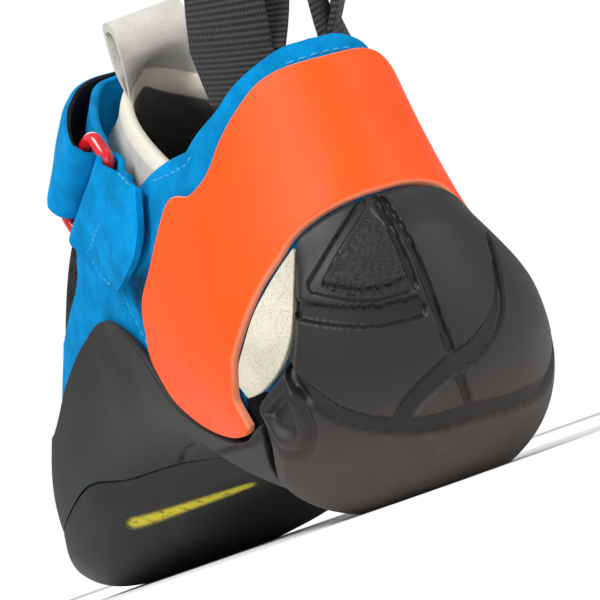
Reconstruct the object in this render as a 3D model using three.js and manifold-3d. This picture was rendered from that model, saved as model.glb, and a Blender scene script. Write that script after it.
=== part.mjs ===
import * as THREE from "three";
import { mergeVertices } from "three/addons/utils/BufferGeometryUtils.js";
import Module from "manifold-3d";

const wasm = await Module();
wasm.setup();

// A right climbing shoe in millimetres, standing on its sole at Z = 0.
// X points to the outer side of the foot, Y to the toes and Z up.
// The origin lies on the heel's flat spot.

// The last
const LAST_LENGTH = 246.5;
const HEEL_REACH = 36.2;
const BALL_WIDTH = 86.4;
const HEEL_WIDTH = 65.6;
const INSTEP_HEIGHT = 107;
const HEEL_HEIGHT = 93;
const ARCH_LIFT = 17.4;
const TOE_SPRING = 9.9;

// Walls and rubber
const UPPER_WALL = 2;
const SOLE_THICKNESS = 4.9;
const SOLE_EDGE = 2.1;
const SOLE_ROUND = 11;
const SOLE_FLATTENING = 0.8;
const POD_THICKNESS = 4.7;
const POD_EDGE = 2.4;
const POD_ROUND = 13;
const POD_FLATTENING = 2.1;
const RAND_THICKNESS = 1.6;
const SLING_THICKNESS = 1.9;
const INSERT_THICKNESS = 1.5;
const INSOLE_THICKNESS = 1.6;
const LASTING_HALF_TURN = 0.115;

// Pod grooves
const GROOVE_WIDTH = 2.2;
const GROOVE_DEPTH = 1.5;
const LEG_WIDTH = 1.6;
const LEG_DEPTH = 1.1;

// Clearances
const LAYER_GAP = 0.8;
const INSOLE_GAP = 1.3;
const SEAM_GAP = 0.3;
const FEATHER_GAP = 1.7;
const RING_GAP = 1.3;
const RAND_GAP = 1.0;
const WEBBING_GAP = 0.7;

// Tongue, strap, ring and loops
const TONGUE_THICKNESS = 3.2;
const TONGUE_LOOP_WALL = 2.2;
const TONGUE_LOOP_HEIGHT = 21;
const TONGUE_LOOP_FRONT = 3;
const TONGUE_LOOP_REAR = 9;
const STRAP_THICKNESS = 2.2;
const STRAP_RISE = 4.5;
const STRAP_FOLD = 4.5;
const ANCHOR_THICKNESS = 1.6;
const RING_WIRE = 3.4;
const RING_LENGTH = 33;
const RING_DEPTH = 13;
const WEBBING_WIDTH = 17;
const WEBBING_THICKNESS = 1.5;
const LOOP_HEIGHT = 40;

// Openings, edges and places of the pieces, as stations, turns and shares.
const OPENING = [2.2, 9.3];
const OPENING_ENDS = [0.2, 0.8];
const POD_BELOW_SLING = 0.035;
const POD_INSIDE_SLING = 0.98;
const SOLE_ENDS = 3;
const CUTTER_REACH = 3;

// The tongue's finger loop
const LOOP_HALF_TURN = 0.095;
const LOOP_SINK = 1.6;
const LOOP_CAMBER = 2.5;
const UPWARDS = new THREE.Vector3(0, -0.12, 1).normalize();
const FORWARDS = new THREE.Vector3(0, 1, 0.12).normalize();

// The ring and the strap round it
const RING_SQUARENESS = 0.45;
const RING_TIP = THREE.MathUtils.degToRad(16);
const RING_ROOM = 2.6;
const STRAP_END = 0.42;
const STRAP_DIP = 0.7;
const STRAP_DIP_LENGTH = 0.24;

// The pull loops at the back of the collar
const LOOP_STATION = 19.4;
const LOOP_TURNS = { inner: [0.128, 0.104], outer: [0.132, 0.108] };
const LOOP_TAIL = 14;
const LOOP_DEPTH = 10;
const TAIL_SHARE = 0.14;
const LOOP_SPREAD = 1.5;
const LOOP_RISE = new THREE.Vector3(0.34, 0.06, 0.94).normalize();

// Facets of each piece, along and across it.
const STEPS = {
  upper: [27, 32],
  opening: [12, 4],
  insole: [16, 4],
  outsole: [18, 14],
  toeRand: [10, 44],
  slingshot: [38, 4],
  pod: [20, 9],
  insert: [10, 2],
  tongue: [12, 6],
  fingerLoop: [4, 14],
  anchor: [8, 4],
  ring: [20, 7],
  pullLoop: [20, 3],
};
const STRAP_STEPS = { over: 12, round: 6, back: 9, across: 3 };
const GROOVE_STEPS = 8;
const LEG_STEPS = 4;

// Seats of the last above the floor
const SOLE_SEAT = LAYER_GAP + SOLE_THICKNESS - SOLE_FLATTENING;
const POD_SEAT = LAYER_GAP + POD_THICKNESS - POD_FLATTENING;

// Sections of the last, from the toe tip under the foot to the heel and up its back.
// back, front: the section's lowest or rearmost end and its top or foremost end, as shares of the length.
// spring, arch, rise: lift of the back end, as shares of toe spring, arch lift and heel height.
// top: height of the front end as a share of the instep height.
// shift, lean: sideways place of the back end and of the front end beyond it, as shares of the ball width.
// heel: 0 for the ball's width and the sole's seat, 1 for the heel's.
// inner, outer: half widths as shares of that width. level: how high up the section is widest.
// low, high: fullness of the corners below and above that level.
const SECTION_COLUMNS = [
  "back", "spring", "arch", "rise", "front", "top", "shift", "lean",
  "heel", "inner", "outer", "level", "low", "high",
];
const SECTIONS = [
  [1.000, 1.00, 0.00, 0.000, 1.000, 0.136, -0.190, 0.000, 0.00, 0.000, 0.000, 0.45, 0.10, 0.05],
  [0.994, 0.46, 0.00, 0.000, 0.990, 0.194, -0.190, 0.000, 0.00, 0.110, 0.125, 0.45, 0.12, 0.05],
  [0.970, 0.18, 0.00, 0.000, 0.962, 0.257, -0.179, 0.000, 0.00, 0.196, 0.235, 0.43, 0.16, 0.05],
  [0.930, 0.04, 0.00, 0.000, 0.920, 0.311, -0.156, 0.000, 0.00, 0.279, 0.324, 0.40, 0.20, 0.03],
  [0.871, 0.00, 0.00, 0.000, 0.863, 0.374, -0.128, -0.011, 0.00, 0.358, 0.413, 0.37, 0.22, 0.02],
  [0.803, 0.02, 0.00, 0.000, 0.801, 0.446, -0.089, -0.030, 0.00, 0.430, 0.475, 0.35, 0.22, 0.00],
  [0.728, 0.00, 0.10, 0.000, 0.738, 0.527, -0.050, -0.060, 0.00, 0.486, 0.514, 0.33, 0.20, 0.00],
  [0.652, 0.00, 0.29, 0.000, 0.675, 0.617, -0.019, -0.095, 0.00, 0.492, 0.508, 0.33, 0.16, 0.04],
  [0.570, 0.00, 0.61, 0.000, 0.613, 0.712, 0.006, -0.130, 0.15, 0.486, 0.498, 0.34, 0.12, 0.10],
  [0.487, 0.00, 0.90, 0.000, 0.554, 0.802, 0.022, -0.150, 0.35, 0.475, 0.482, 0.36, 0.10, 0.18],
  [0.405, 0.00, 1.00, 0.000, 0.503, 0.883, 0.034, -0.155, 0.55, 0.469, 0.476, 0.37, 0.08, 0.24],
  [0.323, 0.00, 0.80, 0.000, 0.464, 0.951, 0.045, -0.155, 0.75, 0.463, 0.477, 0.36, 0.06, 0.26],
  [0.241, 0.00, 0.28, 0.000, 0.437, 1.000, 0.045, -0.155, 0.90, 0.456, 0.499, 0.35, 0.07, 0.24],
  [0.159, 0.00, 0.00, 0.000, 0.419, 1.041, 0.045, -0.155, 1.00, 0.456, 0.544, 0.34, 0.10, 0.18],
  [0.076, 0.00, 0.00, 0.008, 0.407, 1.072, 0.045, -0.155, 1.00, 0.456, 0.538, 0.33, 0.10, 0.12],
  [0.016, 0.00, 0.00, 0.138, 0.399, 1.099, 0.045, -0.155, 1.00, 0.427, 0.483, 0.31, 0.08, 0.02],
  [0.000, 0.00, 0.00, 0.350, 0.393, 1.122, 0.045, -0.155, 1.00, 0.375, 0.392, 0.33, 0.05, 0.00],
  [0.010, 0.00, 0.00, 0.553, 0.389, 1.144, 0.050, -0.155, 1.00, 0.323, 0.348, 0.35, 0.02, 0.00],
  [0.027, 0.00, 0.00, 0.750, 0.386, 1.167, 0.056, -0.155, 1.00, 0.302, 0.345, 0.38, 0.00, 0.00],
  [0.045, 0.00, 0.00, 0.931, 0.382, 1.194, 0.061, -0.155, 1.00, 0.294, 0.357, 0.40, -0.02, 0.00],
  [0.059, 0.00, 0.00, 1.087, 0.378, 1.225, 0.061, -0.155, 1.00, 0.302, 0.372, 0.42, -0.02, 0.00],
];

// Each section in millimetres: the two ends, sideways place, half widths and form.
function sizedSection(row) {
  const share = Object.fromEntries(SECTION_COLUMNS.map((name, k) => [name, row[k]]));
  const width = THREE.MathUtils.lerp(BALL_WIDTH, HEEL_WIDTH, share.heel);
  const seat = THREE.MathUtils.lerp(SOLE_SEAT, POD_SEAT, share.heel);
  const lift = share.spring * TOE_SPRING + share.arch * ARCH_LIFT + share.rise * HEEL_HEIGHT;
  return [
    share.back * LAST_LENGTH - HEEL_REACH,
    seat + lift,
    share.front * LAST_LENGTH - HEEL_REACH,
    share.top * INSTEP_HEIGHT,
    share.shift * BALL_WIDTH,
    share.lean * BALL_WIDTH,
    share.inner * width,
    share.outer * width,
    share.level,
    share.low,
    share.high,
  ];
}

// A natural cubic spline through the rows of a table, as a function of the row number.
function splineThrough(table) {
  const last = table.length - 1;
  const bend = table.map((row) => row.map(() => 0));
  table[0].forEach((_, k) => {
    const slack = [0];
    const load = [0];
    for (let i = 1; i < last; i += 1) {
      const pivot = 4 - slack[i - 1];
      slack.push(1 / pivot);
      load.push((6 * (table[i - 1][k] - 2 * table[i][k] + table[i + 1][k]) - load[i - 1]) / pivot);
    }
    for (let i = last - 1; i > 0; i -= 1) {
      bend[i][k] = load[i] - slack[i] * bend[i + 1][k];
    }
  });
  return (at) => {
    const i = Math.min(Math.max(Math.floor(at), 0), last - 1);
    const t = at - i;
    const u = 1 - t;
    return table[i].map((value, k) => (
      u * value + t * table[i + 1][k]
      + ((u ** 3 - u) * bend[i][k] + (t ** 3 - t) * bend[i + 1][k]) / 6
    ));
  };
}

const sectionAt = splineThrough(SECTIONS.map(sizedSection));

// A point of the last: station counts the sections from the toe, and turn goes round a section,
// 0 at its back end, a quarter at the outer side, a half at its front end.
function lastPoint(station, turn) {
  const [backY, backZ, frontY, frontZ, shift, lean, inner, outer, level, low, high] = sectionAt(station);
  const angle = 2 * Math.PI * (turn - 0.25);
  const across = Math.cos(angle);
  const along = Math.sin(angle);
  const fullness = THREE.MathUtils.lerp(low, high, 0.5 + 0.5 * along);
  const reach = along * (1 + fullness * across * across);
  const share = level + reach * (along < 0 ? level : 1 - level);
  const half = across >= 0 ? outer : inner;
  return new THREE.Vector3(
    shift + lean * share + half * across * (1 + fullness * along * along),
    THREE.MathUtils.lerp(backY, frontY, share),
    THREE.MathUtils.lerp(backZ, frontZ, share),
  );
}

// The direction out of the last at a point, from the slopes along and round it.
const SLOPE_STEP = 0.001;
const POLE = 0.02;
function lastNormal(station, turn) {
  if (station < POLE) {
    return new THREE.Vector3(0, 1, 0);
  }
  const alongStep = lastPoint(station + SLOPE_STEP, turn).sub(lastPoint(station - SLOPE_STEP, turn));
  const roundStep = lastPoint(station, turn + SLOPE_STEP).sub(lastPoint(station, turn - SLOPE_STEP));
  return roundStep.cross(alongStep).normalize();
}

// A point at a height above the last's surface. The very toe tip is one point for all turns.
function surface(station, turn, height) {
  const point = lastPoint(station, station < POLE ? 0 : turn);
  return point.addScaledVector(lastNormal(station, turn), height);
}

// Scales that make a station and a turn about as long as they are on the shoe.
const STATION_STEP = 12;
const TURN_LENGTH = 210;

// A smooth line on the last through [station, turn] points.
function line(points) {
  const spots = points.map(([station, turn]) => (
    new THREE.Vector3(station * STATION_STEP, turn * TURN_LENGTH, 0)
  ));
  const curve = new THREE.CatmullRomCurve3(spots, false, "centripetal");
  return (u) => {
    const spot = curve.getPoint(u);
    return [spot.x / STATION_STEP, spot.y / TURN_LENGTH];
  };
}

function mirrored(points) {
  return points.map(([station, turn]) => [station, -turn]);
}

// Places between two lines, held back from each of them by a gap.
const RULER_STEPS = 6;
function between(first, second, firstGap, secondGap) {
  return (u, v) => {
    const [s0, t0] = first(u);
    const [s1, t1] = second(u);
    let reach = 0;
    let before = surface(s0, t0, 0);
    for (let i = 1; i <= RULER_STEPS; i += 1) {
      const k = i / RULER_STEPS;
      const here = surface(THREE.MathUtils.lerp(s0, s1, k), THREE.MathUtils.lerp(t0, t1, k), 0);
      reach += here.distanceTo(before);
      before = here;
    }
    const from = Math.min(firstGap / reach, 0.45);
    const to = 1 - Math.min(secondGap / reach, 0.45);
    const k = THREE.MathUtils.lerp(from, to, v);
    const edgeDistance = Math.min(k, 1 - k) * reach;
    return {
      station: THREE.MathUtils.lerp(s0, s1, k),
      turn: THREE.MathUtils.lerp(t0, t1, k),
      edgeDistance,
    };
  };
}

function smooth(x) {
  const t = THREE.MathUtils.clamp(x, 0, 1);
  return t * t * (3 - 2 * t);
}

// A closed solid between two sheets: place(u, v, 0) is one sheet and place(u, v, 1) the other.
const SAME_POINT = 0.002;
function slab(uSteps, vSteps, place, ring = false) {
  const sheets = [0, 1].map((side) => (
    Array.from({ length: uSteps + 1 }, (_, i) => (
      Array.from({ length: vSteps + 1 }, (__, j) => (
        place(i / uSteps, (ring ? j % vSteps : j) / vSteps, side)
      ))
    ))
  ));
  const positions = [];
  function triangle(a, b, c) {
    if (a.distanceTo(b) > SAME_POINT && b.distanceTo(c) > SAME_POINT && c.distanceTo(a) > SAME_POINT) {
      positions.push(...a.toArray(), ...b.toArray(), ...c.toArray());
    }
  }
  function quad(a, b, c, d) {
    triangle(a, b, c);
    triangle(a, c, d);
  }
  const [under, over] = sheets;
  for (let i = 0; i < uSteps; i += 1) {
    for (let j = 0; j < vSteps; j += 1) {
      quad(over[i][j], over[i][j + 1], over[i + 1][j + 1], over[i + 1][j]);
      quad(under[i][j], under[i + 1][j], under[i + 1][j + 1], under[i][j + 1]);
    }
  }
  for (let j = 0; j < vSteps; j += 1) {
    quad(under[0][j], under[0][j + 1], over[0][j + 1], over[0][j]);
    quad(over[uSteps][j], over[uSteps][j + 1], under[uSteps][j + 1], under[uSteps][j]);
  }
  if (!ring) {
    for (let i = 0; i < uSteps; i += 1) {
      quad(over[i][0], over[i + 1][0], under[i + 1][0], under[i][0]);
      quad(under[i][vSteps], under[i + 1][vSteps], over[i + 1][vSteps], over[i][vSteps]);
    }
  }
  return outward(positions);
}

// A geometry from loose triangles, turned so that its faces point out.
function outward(positions) {
  let volume = 0;
  const [a, b, c] = [new THREE.Vector3(), new THREE.Vector3(), new THREE.Vector3()];
  for (let i = 0; i < positions.length; i += 9) {
    a.fromArray(positions, i);
    b.fromArray(positions, i + 3);
    c.fromArray(positions, i + 6);
    volume += a.dot(b.cross(c));
  }
  if (volume < 0) {
    for (let i = 0; i < positions.length; i += 9) {
      const second = positions.slice(i + 3, i + 6);
      const third = positions.slice(i + 6, i + 9);
      positions.splice(i + 3, 6, ...third, ...second);
    }
  }
  const geometry = new THREE.BufferGeometry();
  geometry.setAttribute("position", new THREE.Float32BufferAttribute(positions, 3));
  return mergeVertices(geometry, SAME_POINT / 2);
}

function toSolid(geometry) {
  return new wasm.Manifold(new wasm.Mesh({
    numProp: 3,
    vertProperties: new Float32Array(geometry.attributes.position.array),
    triVerts: new Uint32Array(geometry.index.array),
  }));
}

function toGeometry(solid) {
  const mesh = solid.getMesh();
  const geometry = new THREE.BufferGeometry();
  geometry.setAttribute("position", new THREE.BufferAttribute(mesh.vertProperties, 3));
  geometry.setIndex(new THREE.BufferAttribute(mesh.triVerts, 1));
  return geometry;
}

// Outlines of the pieces as [station, turn] points. Turns are positive on the outer side.

// The collar and throat edge, from the middle of the back to the front of the throat.
const COLLAR_HALF = [
  [19.3, 0], [19.25, 0.05], [19, 0.1], [18.7, 0.138], [18.35, 0.168], [17.7, 0.226], [16.87, 0.281],
  [15.7, 0.318], [14.7, 0.342], [13.4, 0.366], [11.8, 0.39], [10.4, 0.41], [9.2, 0.432], [8.5, 0.463],
  [8.3, 0.5],
];
const COLLAR_EDGE = line([
  ...COLLAR_HALF,
  ...COLLAR_HALF.slice(0, -1).reverse().map(([station, turn]) => [station, 1 - turn]),
]);

// The sole's outline and, round it, the outer edge of the rand, both from the top of the toe tip
// along the outer side to the arch and back along the inner side.
const SOLE_OUTLINE = [
  [0.15, 0.5], [0.15, 0.42], [0.15, 0.34], [0.2, 0.27], [1.5, 0.245], [3.5, 0.24], [5.5, 0.24],
  [7.2, 0.225], [8.4, 0.18], [9.4, 0.13], [10.1, 0.09], [10.45, 0.06], [10.6, 0.03], [10.65, 0],
  [10.6, -0.03], [10.5, -0.06], [10.2, -0.095], [9.55, -0.126], [8.6, -0.168], [7.75, -0.225],
  [5.5, -0.25], [3.5, -0.25], [1.5, -0.25], [0.2, -0.27], [0.15, -0.34], [0.15, -0.42], [0.15, -0.5],
];
const RAND_OUTLINE = [
  [5.9, 0.5], [6, 0.43], [6.3, 0.37], [6.9, 0.33], [7.3, 0.32], [7.8, 0.313], [8.6, 0.305],
  [9.6, 0.298], [10.6, 0.292], [11.4, 0.272], [12, 0.24], [12.8, 0.2], [12.5, 0.13], [12.2, 0],
  [12.25, -0.06], [12.65, -0.112], [13.5, -0.15], [14.25, -0.174], [13.35, -0.184], [12.2, -0.225],
  [12.1, -0.27], [11.28, -0.288], [10.2, -0.288], [8.9, -0.294], [7.2, -0.315], [6.1, -0.4],
  [5.9, -0.5],
];

// The slingshot rand: upper edge and lower edge, from the middle of the back to the arch.
const SLING_UPPER = [
  [18.9, 0], [18.85, -0.06], [18.69, -0.095], [18.32, -0.132], [17.82, -0.169], [17.25, -0.203],
  [16.79, -0.236], [16.43, -0.265], [15.78, -0.28], [15.06, -0.29], [14.19, -0.29], [13.2, -0.28],
  [12.42, -0.262], [12.3, -0.233], [12.95, -0.203], [13.95, -0.18],
];
const SLING_LOWER = [
  [17.15, 0], [17.13, -0.03], [17.01, -0.067], [16.81, -0.099], [16.61, -0.12], [16.35, -0.138],
  [16.02, -0.16], [15.62, -0.182], [15.25, -0.198], [14.91, -0.207], [14.7, -0.206], [14.5, -0.204],
  [14.36, -0.201], [14.28, -0.196], [14.2, -0.19], [14.1, -0.182],
];

// The heel pod's lower and upper edges, from the inner side round to the outer side.
const POD_LOWER = [
  [14.49, -0.178], [14.2, -0.161], [13.7, -0.149], [13.1, -0.132], [12.75, -0.098], [12.5, -0.05],
  [12.45, 0], [12.5, 0.05], [12.65, 0.1], [12.95, 0.145], [13.4, 0.166], [13.9, 0.172], [14.5, 0.188],
];
const POD_INNER_EDGE = [
  [14.69, -0.174], [14.93, -0.164], [15.22, -0.15], [15.56, -0.137], [16.12, -0.124], [16.61, -0.113],
];
const POD_UPPER = [
  ...POD_INNER_EDGE,
  ...[...SLING_LOWER.slice(1, 4).reverse(), ...mirrored(SLING_LOWER.slice(0, 10))].map(
    ([station, turn]) => [station - POD_BELOW_SLING, turn * POD_INSIDE_SLING],
  ),
];

// The heel insert between the slingshot rand and the pod's inner edge.
const INSERT_FRONT = [
  [16.52, -0.121], [16.3, -0.137], [15.97, -0.158], [15.58, -0.18], [15.22, -0.194], [14.9, -0.202],
  [14.6, -0.2],
];
const INSERT_REAR = [
  [16.48, -0.119], [16.12, -0.127], [15.57, -0.14], [15.23, -0.153], [14.94, -0.167], [14.72, -0.178],
  [14.54, -0.189],
];

// The insole, with its half width in turns.
const INSOLE = [[0.9, 0.14], [2.5, 0.17], [5, 0.175], [8, 0.16], [11, 0.14], [13.3, 0.13], [14.3, 0.105]];

// Half turns of the tongue, from the vamp to its top.
const TONGUE_HALF = [[7.6, 0.05], [9.5, 0.1], [11.5, 0.135], [13.5, 0.165], [15.2, 0.2], [16.7, 0.222]];

// The anchor tab's rear and front edges, from the ring down to the forefoot.
const ANCHOR_REAR = [[15.75, -0.335], [15.95, -0.318], [16, -0.301]];
const ANCHOR_FRONT = [[12.1, -0.335], [12.2, -0.32], [12.85, -0.302]];

// The strap's front and rear edges, from its foot on the outer side to the ring on the inner side.
const STRAP_FRONT = [[12.6, 0.3], [11.6, 0.39], [10.6, 0.47], [11, 0.53], [12.5, 0.585]];
const STRAP_REAR = [[15, 0.3], [15.6, 0.39], [15.9, 0.47], [15.8, 0.54], [15.5, 0.6]];

// Grooves of the pod: long arc, inner arc, base of the triangle and its legs, outer groove.
const POD_GROOVES = [
  [[15.2, -0.142], [15.1, -0.125], [14.95, -0.096], [14.88, -0.04], [14.88, 0.008], [14.75, 0.056],
    [14.6, 0.098], [14.6, 0.15]],
  [[15.85, -0.125], [15.85, -0.09], [15.85, -0.06], [15.88, -0.012]],
  [[16.0, 0.105], [15.6, 0.071], [15.4, 0.03], [15.3, -0.008], [15.1, -0.04], [14.95, -0.052]],
];
const POD_LEGS = [
  [[17.05, -0.03], [16.6, -0.07], [16.1, -0.105]],
  [[17.05, -0.014], [16.5, -0.012], [16.1, -0.011]],
  [[17.0, -0.005], [16.4, 0], [15.9, 0.001], [15.4, 0.003], [14.95, 0.008]],
  [[16.1, -0.1], [16.05, -0.06], [16.1, -0.016]],
];

// Rubber that thins towards its edge.
function domed(edge, full, round, distance) {
  return THREE.MathUtils.lerp(edge, full, smooth(distance / round));
}

function onFloor(point) {
  point.z = Math.max(point.z, 0);
  return point;
}

// A solid that covers the last between two lines.
function cover(first, second, uSteps, vSteps, underside, thickness) {
  const spread = between(first, second, SEAM_GAP / 2, SEAM_GAP / 2);
  return slab(uSteps, vSteps, (u, v, side) => {
    const spot = spread(u, v);
    const height = underside + (side ? thickness(spot) : 0);
    return onFloor(surface(spot.station, spot.turn, height));
  });
}

// A cutter that follows a line on the last, from below the rubber's face to outside it.
function furrow(points, width, floorHeight, steps) {
  const path = line(points);
  return toSolid(slab(steps, 1, (u, v, side) => {
    const [station, turn] = path(u);
    const [s0, t0] = path(Math.max(u - SLOPE_STEP, 0));
    const [s1, t1] = path(Math.min(u + SLOPE_STEP, 1));
    const heading = surface(s1, t1, floorHeight).sub(surface(s0, t0, floorHeight)).normalize();
    const sideways = heading.cross(lastNormal(station, turn)).normalize();
    const height = floorHeight + (side ? CUTTER_REACH : 0);
    return surface(station, turn, height).addScaledVector(sideways, (v - 0.5) * width);
  }));
}

// The upper: one wall from the toe tip to the collar and throat, with an opening under the foot.
function makeUpper() {
  const wall = toSolid(slab(...STEPS.upper, (u, v, side) => {
    const [station, turn] = COLLAR_EDGE(v);
    return surface(u * station, turn, side ? 0 : -UPPER_WALL);
  }, true));
  const opening = toSolid(slab(...STEPS.opening, (u, v, side) => surface(
    THREE.MathUtils.lerp(...OPENING, u),
    (2 * v - 1) * LASTING_HALF_TURN * Math.sin(Math.PI * THREE.MathUtils.lerp(...OPENING_ENDS, u)) ** 0.5,
    side ? UPPER_WALL : -2 * UPPER_WALL,
  )));
  return toGeometry(wall.subtract(opening));
}

function makeInsole() {
  const edge = line(INSOLE);
  const top = -UPPER_WALL - INSOLE_GAP;
  return slab(...STEPS.insole, (u, v, side) => {
    const [station, half] = edge(u);
    return surface(station, (2 * v - 1) * half, top - (side ? 0 : INSOLE_THICKNESS));
  });
}

function makeOutsole() {
  const middle = (SOLE_OUTLINE.length - 1) / 2;
  const outer = line(SOLE_OUTLINE.slice(SOLE_ENDS, middle + 1));
  const inner = line(SOLE_OUTLINE.slice(middle, 2 * middle + 1 - SOLE_ENDS).reverse());
  const spread = between(inner, outer, FEATHER_GAP / 2, FEATHER_GAP / 2);
  return slab(...STEPS.outsole, (u, v, side) => {
    // The steps are closer together towards the edges, where the sole turns up.
    const spot = spread(u, v / 2 + (1 - Math.cos(Math.PI * v)) / 4);
    const rubber = domed(SOLE_EDGE, SOLE_THICKNESS, SOLE_ROUND, spot.edgeDistance);
    return onFloor(surface(spot.station, spot.turn, LAYER_GAP + side * rubber));
  });
}

function makeToeRand() {
  const spread = between(line(SOLE_OUTLINE), line(RAND_OUTLINE), SEAM_GAP / 2, SEAM_GAP / 2);
  return slab(...STEPS.toeRand, (u, v, side) => {
    const spot = spread(v, u);
    return onFloor(surface(spot.station, spot.turn, RAND_GAP + side * RAND_THICKNESS));
  }, true);
}

function makeSlingshotRand() {
  const upper = [...mirrored(SLING_UPPER).reverse(), ...SLING_UPPER.slice(1)];
  const lower = [...mirrored(SLING_LOWER).reverse(), ...SLING_LOWER.slice(1)];
  return cover(line(upper), line(lower), ...STEPS.slingshot, LAYER_GAP, () => SLING_THICKNESS);
}

function makeHeelPod() {
  const body = toSolid(cover(line(POD_LOWER), line(POD_UPPER), ...STEPS.pod, LAYER_GAP, (spot) => (
    domed(POD_EDGE, POD_THICKNESS, POD_ROUND, spot.edgeDistance)
  )));
  const face = LAYER_GAP + POD_THICKNESS;
  const grooves = POD_GROOVES.map((points) => (
    furrow(points, GROOVE_WIDTH, face - GROOVE_DEPTH, GROOVE_STEPS)
  ));
  const legs = POD_LEGS.map((points) => furrow(points, LEG_WIDTH, face - LEG_DEPTH, LEG_STEPS));
  return toGeometry([...grooves, ...legs].reduce((solid, cutter) => solid.subtract(cutter), body));
}

function makeHeelInsert() {
  return cover(line(INSERT_FRONT), line(INSERT_REAR), ...STEPS.insert, LAYER_GAP, () => INSERT_THICKNESS);
}

// A drop-shaped loop: how far out and how far up its turn has gone, from its foot round to its foot.
function drop(share, before, behind, height) {
  const angle = 2 * Math.PI * share;
  const swing = 1.3 * Math.sin(angle) * Math.sin(angle / 2);
  return [swing * (swing > 0 ? before : behind), height * (1 - Math.cos(angle)) / 2];
}

// A band of one thickness whose middle sheet is middle(u, v).
function ribbon(uSteps, vSteps, thickness, middle) {
  const clampStep = (x) => THREE.MathUtils.clamp(x, 0, 1);
  return slab(uSteps, vSteps, (u, v, side) => {
    const alongStep = middle(clampStep(u + SLOPE_STEP), v).sub(middle(clampStep(u - SLOPE_STEP), v));
    const acrossStep = middle(u, clampStep(v + SLOPE_STEP)).sub(middle(u, clampStep(v - SLOPE_STEP)));
    const face = alongStep.cross(acrossStep).normalize();
    return middle(u, v).addScaledVector(face, (side - 0.5) * thickness);
  });
}

// The tongue: a padded sheet under the throat, with a finger loop of its own leather on top.
function makeTongue() {
  const edge = line(TONGUE_HALF);
  const face = -UPPER_WALL - LAYER_GAP;
  const top = TONGUE_HALF.at(-1)[0];
  const body = toSolid(slab(...STEPS.tongue, (u, v, side) => {
    const [station, half] = edge(u);
    return surface(station, 0.5 + (2 * v - 1) * half, face - (side ? 0 : TONGUE_THICKNESS));
  }));
  const seam = (u) => surface(top, 0.5 + (2 * u - 1) * LOOP_HALF_TURN, face - TONGUE_THICKNESS / 2);
  const loop = toSolid(slab(...STEPS.fingerLoop, (u, v, side) => {
    const straight = seam(0).lerp(seam(1), u).addScaledVector(FORWARDS, LOOP_CAMBER);
    const wall = side ? 0 : TONGUE_LOOP_WALL;
    const height = TONGUE_LOOP_HEIGHT - 2 * wall;
    const [out, up] = drop(v, TONGUE_LOOP_FRONT - wall, TONGUE_LOOP_REAR - wall, height);
    return seam(u).lerp(straight, smooth((2 * up) / height))
      .addScaledVector(FORWARDS, out)
      .addScaledVector(UPWARDS, up + wall - LOOP_SINK);
  }, true));
  return toGeometry(body.add(loop));
}

// The anchor tab: two layers of suede that hold the ring.
function makeAnchor() {
  const layers = () => 2 * ANCHOR_THICKNESS;
  return cover(line(ANCHOR_REAR), line(ANCHOR_FRONT), ...STEPS.anchor, LAYER_GAP, layers);
}

// The ring's own frame: its middle, its long way, its short way up the foot and the way out of the
// shoe. Its lower bar lies along the anchor tab's upper edge, and it tips outwards from there.
function ringFrame() {
  const [rear, front] = [ANCHOR_REAR[0], ANCHOR_FRONT[0]];
  const height = LAYER_GAP + ANCHOR_THICKNESS;
  const rearEnd = surface(...rear, height);
  const frontEnd = surface(...front, height);
  const long = rearEnd.clone().sub(frontEnd).normalize();
  const out = lastNormal((rear[0] + front[0]) / 2, (rear[1] + front[1]) / 2);
  const short = long.clone().cross(out).normalize();
  out.copy(short).cross(long).normalize();
  if (short.z < 0) {
    short.negate();
  }
  const tip = long.clone().multiplyScalar(Math.sign(short.clone().cross(out).dot(long)) * RING_TIP);
  const turned = new THREE.Quaternion().setFromAxisAngle(tip.clone().normalize(), tip.length());
  short.applyQuaternion(turned);
  out.applyQuaternion(turned);
  const bar = (RING_DEPTH - RING_WIRE) / 2;
  const reach = RING_WIRE / 2 + SEAM_GAP + bar;
  const middle = rearEnd.add(frontEnd).multiplyScalar(0.5).addScaledVector(short, reach);
  return { middle, long, short, out, bar };
}

function makeRing() {
  const frame = ringFrame();
  const oval = (angle) => {
    const bow = (x) => Math.sign(x) * Math.abs(x) ** RING_SQUARENESS;
    return [
      bow(Math.cos(angle)) * (RING_LENGTH - RING_WIRE) / 2,
      bow(Math.sin(angle)) * (RING_DEPTH - RING_WIRE) / 2,
    ];
  };
  const [around, sides] = STEPS.ring;
  const positions = [];
  const spots = Array.from({ length: around }, (_, i) => {
    const angle = (2 * Math.PI * i) / around;
    const [x, y] = oval(angle);
    const [nextX, nextY] = oval(angle + SLOPE_STEP);
    const outX = nextY - y;
    const outY = x - nextX;
    const size = Math.hypot(outX, outY);
    return Array.from({ length: sides }, (__, j) => {
      const turn = (2 * Math.PI * j) / sides;
      const away = (Math.cos(turn) * RING_WIRE) / 2;
      return frame.middle.clone()
        .addScaledVector(frame.long, x + (away * outX) / size)
        .addScaledVector(frame.short, y + (away * outY) / size)
        .addScaledVector(frame.out, (Math.sin(turn) * RING_WIRE) / 2);
    });
  });
  for (let i = 0; i < around; i += 1) {
    for (let j = 0; j < sides; j += 1) {
      const a = spots[i][j];
      const b = spots[(i + 1) % around][j];
      const c = spots[(i + 1) % around][(j + 1) % sides];
      const d = spots[i][(j + 1) % sides];
      positions.push(...a.toArray(), ...b.toArray(), ...c.toArray());
      positions.push(...a.toArray(), ...c.toArray(), ...d.toArray());
    }
  }
  return outward(positions);
}

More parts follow.
